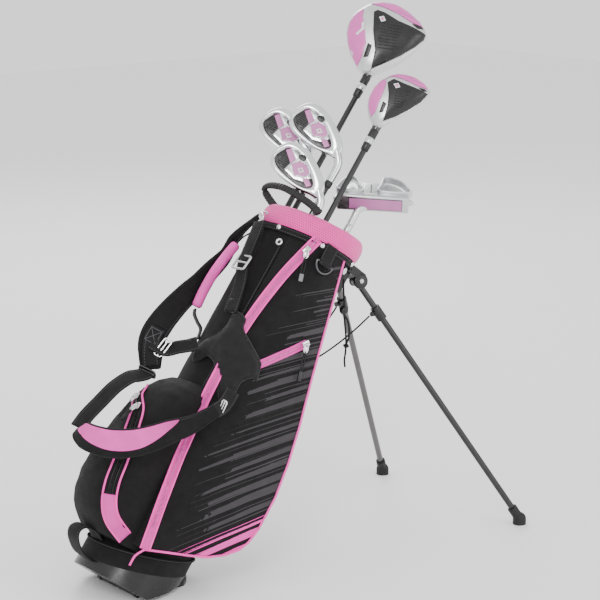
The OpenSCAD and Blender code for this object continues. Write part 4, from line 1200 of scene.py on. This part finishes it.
DRIVER = (-12, 54, 905)
D_OUT = [(4, 2), (-12, -1), (-28, 10), (-43, 23), (-55, 36), (-65, 52), (-69, 69), (-67, 86), (-60, 100),
    (-52, 112), (-37, 123), (-14, 130), (11, 128), (38, 119), (52, 108), (55, 101), (50, 74), (38, 46),
    (19, 19)]
d_parts = [([(-56, 96), (-64, 82), (-66, 66), (-61, 48), (-52, 33), (-40, 20), (-21, 5), (-21, 20),
    (-24, 42), (-40, 66), (-52, 83)], "wood_pink", 0.9, False), ([(-50, 110), (-37, 120), (-14, 127),
    (11, 125), (36, 117), (44, 112), (24, 109), (0, 112), (-26, 112)], "wood_pink", 0.9, False),
    ([(-38, 96), (-34, 102), (-22, 103), (4, 100), (30, 102), (53, 103), (54, 95), (47, 75), (34, 51),
    (17, 28), (2, 9), (-6, 38), (-24, 66)], "sole_black", 1.3, False),
    ([(-22, 44), (-14, 43), (-11, 24), (-18, 20)], "moulded", 0.9, False),
    ([(26, 107), (40, 112), (46, 110), (38, 105)], "moulded", 0.9, False),
    ([(55, 100), (49, 74), (37, 47), (18, 21), (4, 4), (3, 9), (18, 28), (35, 51), (48, 75), (54, 95)],
    "white", 1.0, False),]
d_sole = wood("driver", "driver_head", DRIVER, "driver", D_OUT, (2, 68), 25, 22, d_parts, 0)
ribs("driver_rib", DRIVER, "driver", "wood_black", d_sole, [((-17 + 1.7 * k, 85 - 5.2 * k),
    (16 + 0.4 * k, 94 - 5.2 * k)) for k in range(9)], 2.0, 0.8, "moulded")
ribs("driver_groove", DRIVER, "driver", "putter_silver", d_sole, [((-10 + 6.5 * k, 113.5 + 0.6 * k),
    (2 + 6.5 * k, 119.5 - 0.2 * k)) for k in range(6)], 1.6, 0.55, "iron_pink")
patch("driver_emblem", DRIVER, "driver", "putter_silver", [(-26, 91), (-20, 96), (-13, 90), (-19, 85)],
    d_sole, 2.4, 1.0, "white", False)
patch("driver_emblem_inlay", DRIVER, "driver", "putter_silver", [(-22.5, 91), (-19.6, 93.4), (-16.3, 90),
    (-19.4, 87.6)], d_sole, 3.1, 1.0, "wood_pink", False)
patch("driver_chevron", DRIVER, "driver", "putter_silver", [(-47, 70), (-44, 74), (-38, 62), (-44, 48),
    (-47, 50), (-42.5, 62)], d_sole, 1.7, 0.7, "white", False)

FAIRWAY = (-4, -20, 818)
F_OUT = [(-5, 3), (-18, 13), (-28, 27), (-33, 42), (-33, 62), (-25, 82), (-9, 98), (14, 105), (35, 103),
    (48, 96), (50, 90), (44, 70), (30, 44), (16, 22), (7, 7), (3, 2)]
f_parts = [([(-27, 80), (-33, 60), (-32, 40), (-26, 26), (-15, 13), (-12, 22), (-14, 42), (-16, 60),
    (-20, 76)], "wood_pink", 0.9, False), ([(-22, 86), (-8, 98), (15, 104), (36, 101), (44, 95), (28, 91),
    (5, 91), (-13, 89)], "wood_pink", 0.9, False), ([(-17, 74), (-11, 84), (7, 84), (28, 86), (48, 88),
    (44, 72), (33, 51), (19, 30), (6, 14), (1, 38), (-6, 56)], "sole_black", 1.3, False),
    ([(-9, 42), (-2, 41), (-1, 26), (-6, 23)], "moulded", 0.9, False),
    ([(30, 89), (40, 92), (46, 91), (40, 88)], "moulded", 0.9, False),
    ([(49, 89), (43, 69), (30, 44), (16, 22), (6, 8), (7, 14), (20, 30), (34, 51), (45, 72), (48, 88)],
    "white", 1.0, False),]
f_sole = wood("fairway", "fairway_head", FAIRWAY, "fairway", F_OUT, (8, 56), 19, 15, f_parts, 0)
ribs("fairway_rib", FAIRWAY, "fairway", "wood_black", f_sole, [((0 + 1.3 * k, 71 - 4.2 * k),
    (22 + 0.2 * k, 77 - 4.2 * k)) for k in range(8)], 1.9, 0.8, "moulded")
ribs("fairway_groove", FAIRWAY, "fairway", "putter_silver", f_sole,
    [((2 + 5.5 * k, 94.5 + 0.3 * k), (11 + 5.5 * k, 99.5 - 0.3 * k)) for k in range(5)], 1.5, 0.5,
    "iron_pink")
patch("fairway_emblem", FAIRWAY, "fairway", "putter_silver", [(-7, 75), (-1, 80), (5, 75), (0, 70)],
    f_sole, 2.3, 1.0, "white", False)
patch("fairway_emblem_inlay", FAIRWAY, "fairway", "putter_silver",
    [(-4, 75), (-0.8, 77.6), (2.2, 75), (-0.4, 72.4)], f_sole, 3.0, 1.0, "wood_pink", False)

I_OUT = [(-7, 18), (-5, 30), (-11, 42), (-27, 57), (-46, 70), (-64, 78), (-80, 79), (-92, 73), (-101, 60),
    (-104, 46), (-102, 33), (-94, 24), (-74, 17), (-44, 13), (-20, 14), (-11, 12)]
I_REC = [(-30, 20), (-24, 27), (-29, 36), (-44, 50), (-60, 61), (-76, 67), (-88, 65), (-98, 50),
    (-98, 40), (-88, 30), (-70, 23), (-46, 18)]


def iron(name, node, c, body):
    flat = lambda y: (lambda x, z: y)
    rim_o = rounded(I_OUT, 2.5)
    rim_i = rounded(I_REC, 2.5)

    rim_o = rim_o[::-1] if (np.sum(rim_o[:, 0] * np.roll(rim_o[:, 1], -1) - np.roll(rim_o[:, 0],
        -1) * rim_o[:, 1]) > 0) else rim_o
    rim_i = rim_i[::-1] if (np.sum(rim_i[:, 0] * np.roll(rim_i[:, 1], -1) - np.roll(rim_i[:, 0],
        -1) * rim_i[:, 1]) > 0) else rim_i
    mid = np.array([-60.0, 42.0])

    def by_angle(pts, n=120):
        a_ = np.arctan2(pts[:, 1] - mid[1], pts[:, 0] - mid[0])
        r_ = np.linalg.norm(pts - mid, axis=1)
        o = np.argsort(a_)
        t = np.linspace(-math.pi, math.pi, n, endpoint=False)
        r = np.interp(t, np.concatenate([a_[o] - 2 * math.pi, a_[o], a_[o] + 2 * math.pi]),
            np.tile(r_[o], 3))
        return np.stack([mid[0] + r * np.cos(t), mid[1] + r * np.sin(t)], 1)
    O, R = by_angle(rim_o), by_angle(rim_i)
    layers = [(O, 0.92, 6.0), (O, 0.985, 5.2), (O, 1.0, 3.0), (O, 1.0, -3.5), (O, 0.985, -6.2),
        (O, 0.95, -7.6)]
    verts = []
    for base, s, y in layers:
        q = mid + (base - mid) * s
        verts += [(x, y, z) for x, z in q]
    blendr = mid + (R - mid) * 1.06
    verts += [(x, -7.8, z) for x, z in blendr]
    verts += [(x, -7.0, z) for x, z in R]
    verts += [(x, -3.2, z) for x, z in mid + (R - mid) * 0.975]
    n = len(O)
    rows = len(layers) + 3
    faces = [(j * n + i, j * n + (i + 1) % n, (j + 1) * n + (i + 1) % n, (j + 1) * n + i)
        for j in range(rows - 1) for i in range(n)]
    faces.append(tuple(range(n))[::-1])
    faces.append(tuple((rows - 1) * n + i for i in range(n)))
    shell = piece(name + "_shell", world(head_to_bag(c, verts)), faces, "steel", body, "iron_steel")
    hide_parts(node)
    P = lambda tag, poly, y, mat, th=1.2, rd=False, slot="iron_steel", bev=0.35: patch(name + "_" + tag,
        c, body, slot, poly, flat(y), 0, th, mat, rd, 3.0, bev)
    P("recess_floor", [(-30, 21), (-25, 27), (-30, 36), (-44, 49), (-60, 60), (-76, 66), (-87, 64),
        (-97, 50), (-97, 41), (-87, 31), (-70, 24), (-46, 19)], -3.6, "sole_black", 1.4, True,
        "wood_black")
    P("toe_insert", [(-96, 46), (-89, 57), (-82, 62), (-71, 46), (-76, 34), (-86, 33)], -4.6, "moulded",
        1.6, False, "wood_black")
    for k in range(7):
        z0 = 38 + 3.3 * k
        sweep("%s_rib_%d" % (name, k), head_to_bag(c, np.array([(x, -5.9, z) for x,
            z in zip(np.linspace(-92 + 0.9 * k, -77 + 0.9 * k, 6), np.linspace(z0 - 0.5, z0 - 1.5, 6))])),
            circle(0.75, 6), "sole_black", body, "wood_black")
    P("bar", [(-88, 60), (-82, 66), (-67, 53), (-72, 44)], -5.9, "iron_pink", 2.4)
    P("bridge", [(-82, 66), (-70, 64), (-58, 60), (-45, 50), (-32, 37), (-40, 27), (-56, 24), (-76, 31),
        (-72, 44), (-67, 53)], -5.4, "steel", 2.2)
    P("medallion", [(-70, 44), (-60, 54), (-47, 53), (-36, 42), (-42, 34), (-58, 29)], -7.2, "iron_pink",
        1.2, False, "iron_steel", 0.5)
    for k, (p_, q_) in enumerate((((-70, 44), (-60, 54)), ((-60, 54), (-47, 53)), ((-47, 53), (-36, 42)),
            ((-36, 42), (-42, 34)), ((-42, 34), (-58, 29)), ((-58, 29), (-70, 44)))):
        sweep("%s_medal_edge_%d" % (name, k), head_to_bag(c, np.array([(p_[0] + (q_[0] - p_[0]) * t, -7.8,
            p_[1] + (q_[1] - p_[1]) * t) for t in np.linspace(0, 1, 6)])), circle(0.7, 6), "steel", body,
            "iron_steel")
    P("emblem", [(-58, 41), (-52, 46), (-46, 41), (-52, 36)], -8.2, "white", 0.8)
    P("emblem_inlay", [(-55, 41), (-52, 43.5), (-49, 41), (-52, 38.5)], -8.8, "iron_pink", 0.6)
    P("notch", [(-66, 62), (-58, 66), (-52, 61), (-56, 56), (-63, 57)], -7.3, "moulded", 1.4, True,
        "wood_black")
    P("heel_block", [(-44, 30), (-36, 35), (-26, 27), (-32, 21)], -6.4, "iron_pink", 2.4)
    P("toe_score", [(-73, 68.5), (-66, 64.5), (-66.4, 63.7), (-73.4, 67.7)], -7.9, "moulded", 0.5, False,
        "wood_black", 0.1)
    # hosel: a curved neck from the heel up to the shaft
    neck = spline([(-15, -0.5, 28), (-8, -0.3, 20), (-2.5, 0, 12), (0, 0, 2), (0, 0, -10), (0, 0, -24)],
        2)
    s = np.interp(np.linspace(0, 1, len(neck)), [0, 0.25, 0.5, 0.75, 1], [1.12, 1.1, 1.0, 0.95, 0.92])
    sweep(name + "_neck", head_to_bag(c, neck), circle(6.7, 20), "steel", body, "iron_steel",
        scale=np.stack([s, s], 1))
    lathe(name + "_ferrule", [(6.1, 0), (6.4, -1), (6.4, -8), (5.4, -11), (5.0, -11.5)],
        head_to_bag(c, [0, 0, -23]), HZ, "moulded", body, "wood_black")


iron("wedge", "wedge_head", (-37, -30, 653), "wedge")
iron("long_iron", "long_iron_head", (-20, -1, 732), "long_iron")
iron("mid_iron", "mid_iron_head", (-36, 42, 708), "mid_iron")

# putter: tilted half-mallet
PUT = (45, -18, 692)
tilt, roll = math.radians(-24), math.radians(48)


def put(p):
    """Putter head frame, rolled and tilted, to bag-local millimetres."""
    p = np.asarray(p, float)
    y = p[..., 1] * math.cos(roll) - p[..., 2] * math.sin(roll)
    h = p[..., 1] * math.sin(roll) + p[..., 2] * math.cos(roll)
    x = p[..., 0] * math.cos(tilt) + h * math.sin(tilt) + 12
    z = -p[..., 0] * math.sin(tilt) + h * math.cos(tilt) + 30
    return head_to_bag(PUT, np.stack([x, y, z], -1))


def put_block(name, lo, hi, mat, slot="putter_silver", bevel=1.5):
    lo, hi = np.array(lo, float), np.array(hi, float)
    v = put(np.array([[x, y, z] for x in (lo[0], hi[0]) for y in (lo[1], hi[1]) for z in (lo[2], hi[2])]))
    ob = piece(name, world(v), [(0, 1, 3, 2), (4, 6, 7, 5), (0, 4, 5, 1), (2, 3, 7, 6), (0, 2, 6, 4),
        (1, 5, 7, 3)], mat, "putter", slot)
    m = ob.modifiers.new("bevel", "BEVEL")
    m.width, m.segments = bevel / 1000, 4
    return ob


face = put_block("putter_face", (-55, -12, -14), (59, 1, 14), "satin", bevel=2.4)
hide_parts("putter_head")
put_block("putter_insert", (-36, -13.0, -9.5), (48, -11.6, 10), "iron_pink", bevel=0.5)
for k, (a_, b_) in enumerate((((-36, 10), (48, 10)), ((48, 10), (48, -9.5)), ((48, -9.5), (-36, -9.5)),
        ((-36, -9.5), (-36, 10)))):
    sweep("putter_insert_edge_%d" % k, put(np.array([(a_[0] + (b_[0] - a_[0]) * t, -12.6,
        a_[1] + (b_[1] - a_[1]) * t) for t in np.linspace(0, 1, 6)])), circle(0.6, 6), "dark_metal",
        "putter", "putter_silver")


def flange(name, outline, z_low, z_high, mat):
    """The body behind the face: an outline in x, y between two heights."""
    pts = spline(np.array([(x, 1.25 * y, 0) for x, y in outline], float), 2.5, closed=True)[:, :2]
    n = len(pts)
    mid_ = pts.mean(0)
    lay = [(0.97, z_low), (1.0, z_low + 2), (1.0, z_high - 2), (0.97, z_high)]
    v = []
    for s_, z_ in lay:
        v += [(*(mid_ + (p - mid_) * s_), z_) for p in pts]
    faces = [(j * n + i, j * n + (i + 1) % n, (j + 1) * n + (i + 1) % n, (j + 1) * n + i)
        for j in range(3) for i in range(n)]
    faces += [tuple(range(n))[::-1], tuple(3 * n + i for i in range(n))]
    return piece(name, world(put(np.array(v))), faces, mat, "putter", "putter_silver")


flange("putter_flange", [(-54, 1), (-53, 16), (-44, 32), (-28, 42), (-6, 44), (10, 44), (30, 42),
    (48, 30), (58, 12), (58, 1)], -8, -1, "satin")
for name, outline in (("putter_wing_heel", [(-54, 2), (-52, 18), (-43, 34), (-34, 41), (-26, 34),
        (-20, 14), (-17, 2)]), ("putter_wing_toe", [(12, 2), (14, 20), (18, 40), (28, 42), (46, 31),
        (57, 14), (58, 2)])):
    loop_ = spline(np.array([(x, 1.25 * y, 0) for x, y in outline], float), 1.6, closed=True)
    pts = np.array([(p[0], p[1], 4.6 + 8.0 * max(0.0, min(1.0, (55 - p[1]) / 55)) ** 0.5) for p in loop_])
    sweep(name, put(pts), slab(3.4, 12, 1.5, 3), "satin", "putter", "putter_silver", closed=True,
        up=np.tile(unit(put(np.array([0, 0, 1.0])) - put(np.array([0, 0, 0.0]))), (len(pts), 1)))
put_block("putter_spine", (-15, -2, -2), (12, 42, 7), "satin", bevel=3.0)
sweep("putter_sight_line", put(np.array([(-2, y, 7.4) for y in np.linspace(2, 36, 8)])), circle(0.9, 6),
    "moulded", "putter", "wood_black")
neck = spline([(12, 3, 20), (9, 2, 16), (3, 0, 10), (0, 0, 2), (0, 0, -10), (0, 0, -24)], 2)
sweep("putter_neck", head_to_bag(PUT, neck), circle(5.9, 20), "satin", "putter", "putter_silver")
lathe("putter_ferrule", [(5.8, 0), (6.4, -1), (6.4, -14), (5.2, -16)], head_to_bag(PUT, [0, 0, -22]), HZ,
    "satin", "putter", "putter_silver")

# ferrules with their bright bands on the woods
for name, c, body in (("driver", DRIVER, "driver"), ("fairway", FAIRWAY, "fairway")):
    lathe(name + "_ferrule_top", [(6.9, 0), (7.3, -1), (7.0, -14), (6.8, -15)],
        head_to_bag(c, [0, 0, -1]), HZ, "moulded", body, "wood_black")
    lathe(name + "_ferrule_band", [(7.0, 0), (7.4, -0.6), (7.2, -9.4), (6.9, -10)],
        head_to_bag(c, [0, 0, -16]), HZ, "satin", body, "putter_silver")
    lathe(name + "_ferrule_low", [(6.9, 0), (7.0, -0.6), (6.4, -12), (5.0, -14)],
        head_to_bag(c, [0, 0, -26]), HZ, "moulded", body, "wood_black")

# ---------------------------------------------------------------- finishes on the CAD nodes
CAD = {"boot": ("boot", "moulded_black"), "foot_plate": ("moulded", "moulded_black"),
    "plate_pin": ("rod", "steel"), "stay_rods": ("fibre", "fibreglass"),
    "top_collar": ("moulded", "moulded_black"), "far_side_pocket": ("side", "body_fabric"),
    "towel_ring": ("dark_metal", "dark_ring"), "leg_bracket": ("moulded", "moulded_black"),
    "hinge_pins": ("rod", "steel"), "leg_near": ("leg", "leg_metal"),
    # painted light: the far leg takes the lighter copy of the leg metal
    "leg_far": ("leg_painted_light", "leg_metal"), "clip_near": ("moulded", "moulded_black"),
    "clip_far": ("moulded", "moulded_black"), "tip_near": ("foot", "foot_rubber"),
    "tip_far": ("foot", "foot_rubber"), "push_rod": ("rod", "steel"),}
for club in ("driver", "fairway", "long_iron", "mid_iron", "wedge", "putter"):
    CAD[club + "_shaft"] = ("satin", "putter_silver") if club == "putter" else ("shaft", "graphite")
    CAD[club + "_grip"] = ("grip", "grip_rubber")
for node, (mat, slot) in CAD.items():
    ob = NODES[node]
    ob.data.materials.clear()
    ob.data.materials.append(M[mat])
for node in NODES:
    ob = NODES[node]
    if not ob.hide_render and node not in CAD:
        ob.data.materials.clear()
        ob.data.materials.append(M["side"])

# ---------------------------------------------------------------- stage
floor_me = bpy.data.meshes.new("floor")
floor_me.from_pydata([(-6, -6, 0), (6, -6, 0), (6, 6, 0), (-6, 6, 0)], [], [(0, 1, 2, 3)])
floor = bpy.data.objects.new("floor", floor_me)
bpy.context.scene.collection.objects.link(floor)
fm = bpy.data.materials.new("floor_white")
fm.use_nodes = True
fm.node_tree.nodes["Principled BSDF"].inputs["Base Color"].default_value = (0.94, 0.94, 0.94, 1)
fm.node_tree.nodes["Principled BSDF"].inputs["Roughness"].default_value = 0.7
floor_me.materials.append(fm)
w = bpy.data.worlds.new("studio")
bpy.context.scene.world = w
w.use_nodes = True
w.node_tree.nodes["Background"].inputs["Color"].default_value = (1, 1, 1, 1)
w.node_tree.nodes["Background"].inputs["Strength"].default_value = 1.35


def lamp(name, at, to, size, power, color=(1, 1, 1)):
    d = bpy.data.lights.new(name, "AREA")
    d.shape, d.size, d.energy, d.color = "DISK", size, power, color
    o = bpy.data.objects.new(name, d)
    bpy.context.scene.collection.objects.link(o)
    o.location = at
    o.rotation_mode = "QUATERNION"
    o.rotation_quaternion = (Vector(to) - Vector(at)).to_track_quat("-Z", "Y")
    return o


lamp("key", (-2.2, -2.4, 2.6), (0.25, 0, 0.4), 1.4, 62)
lamp("fill", (1.4, -3.2, 1.2), (0.3, 0, 0.4), 2.0, 26)
lamp("rim_light", (1.6, 2.4, 2.2), (0.3, 0, 0.5), 1.6, 40)
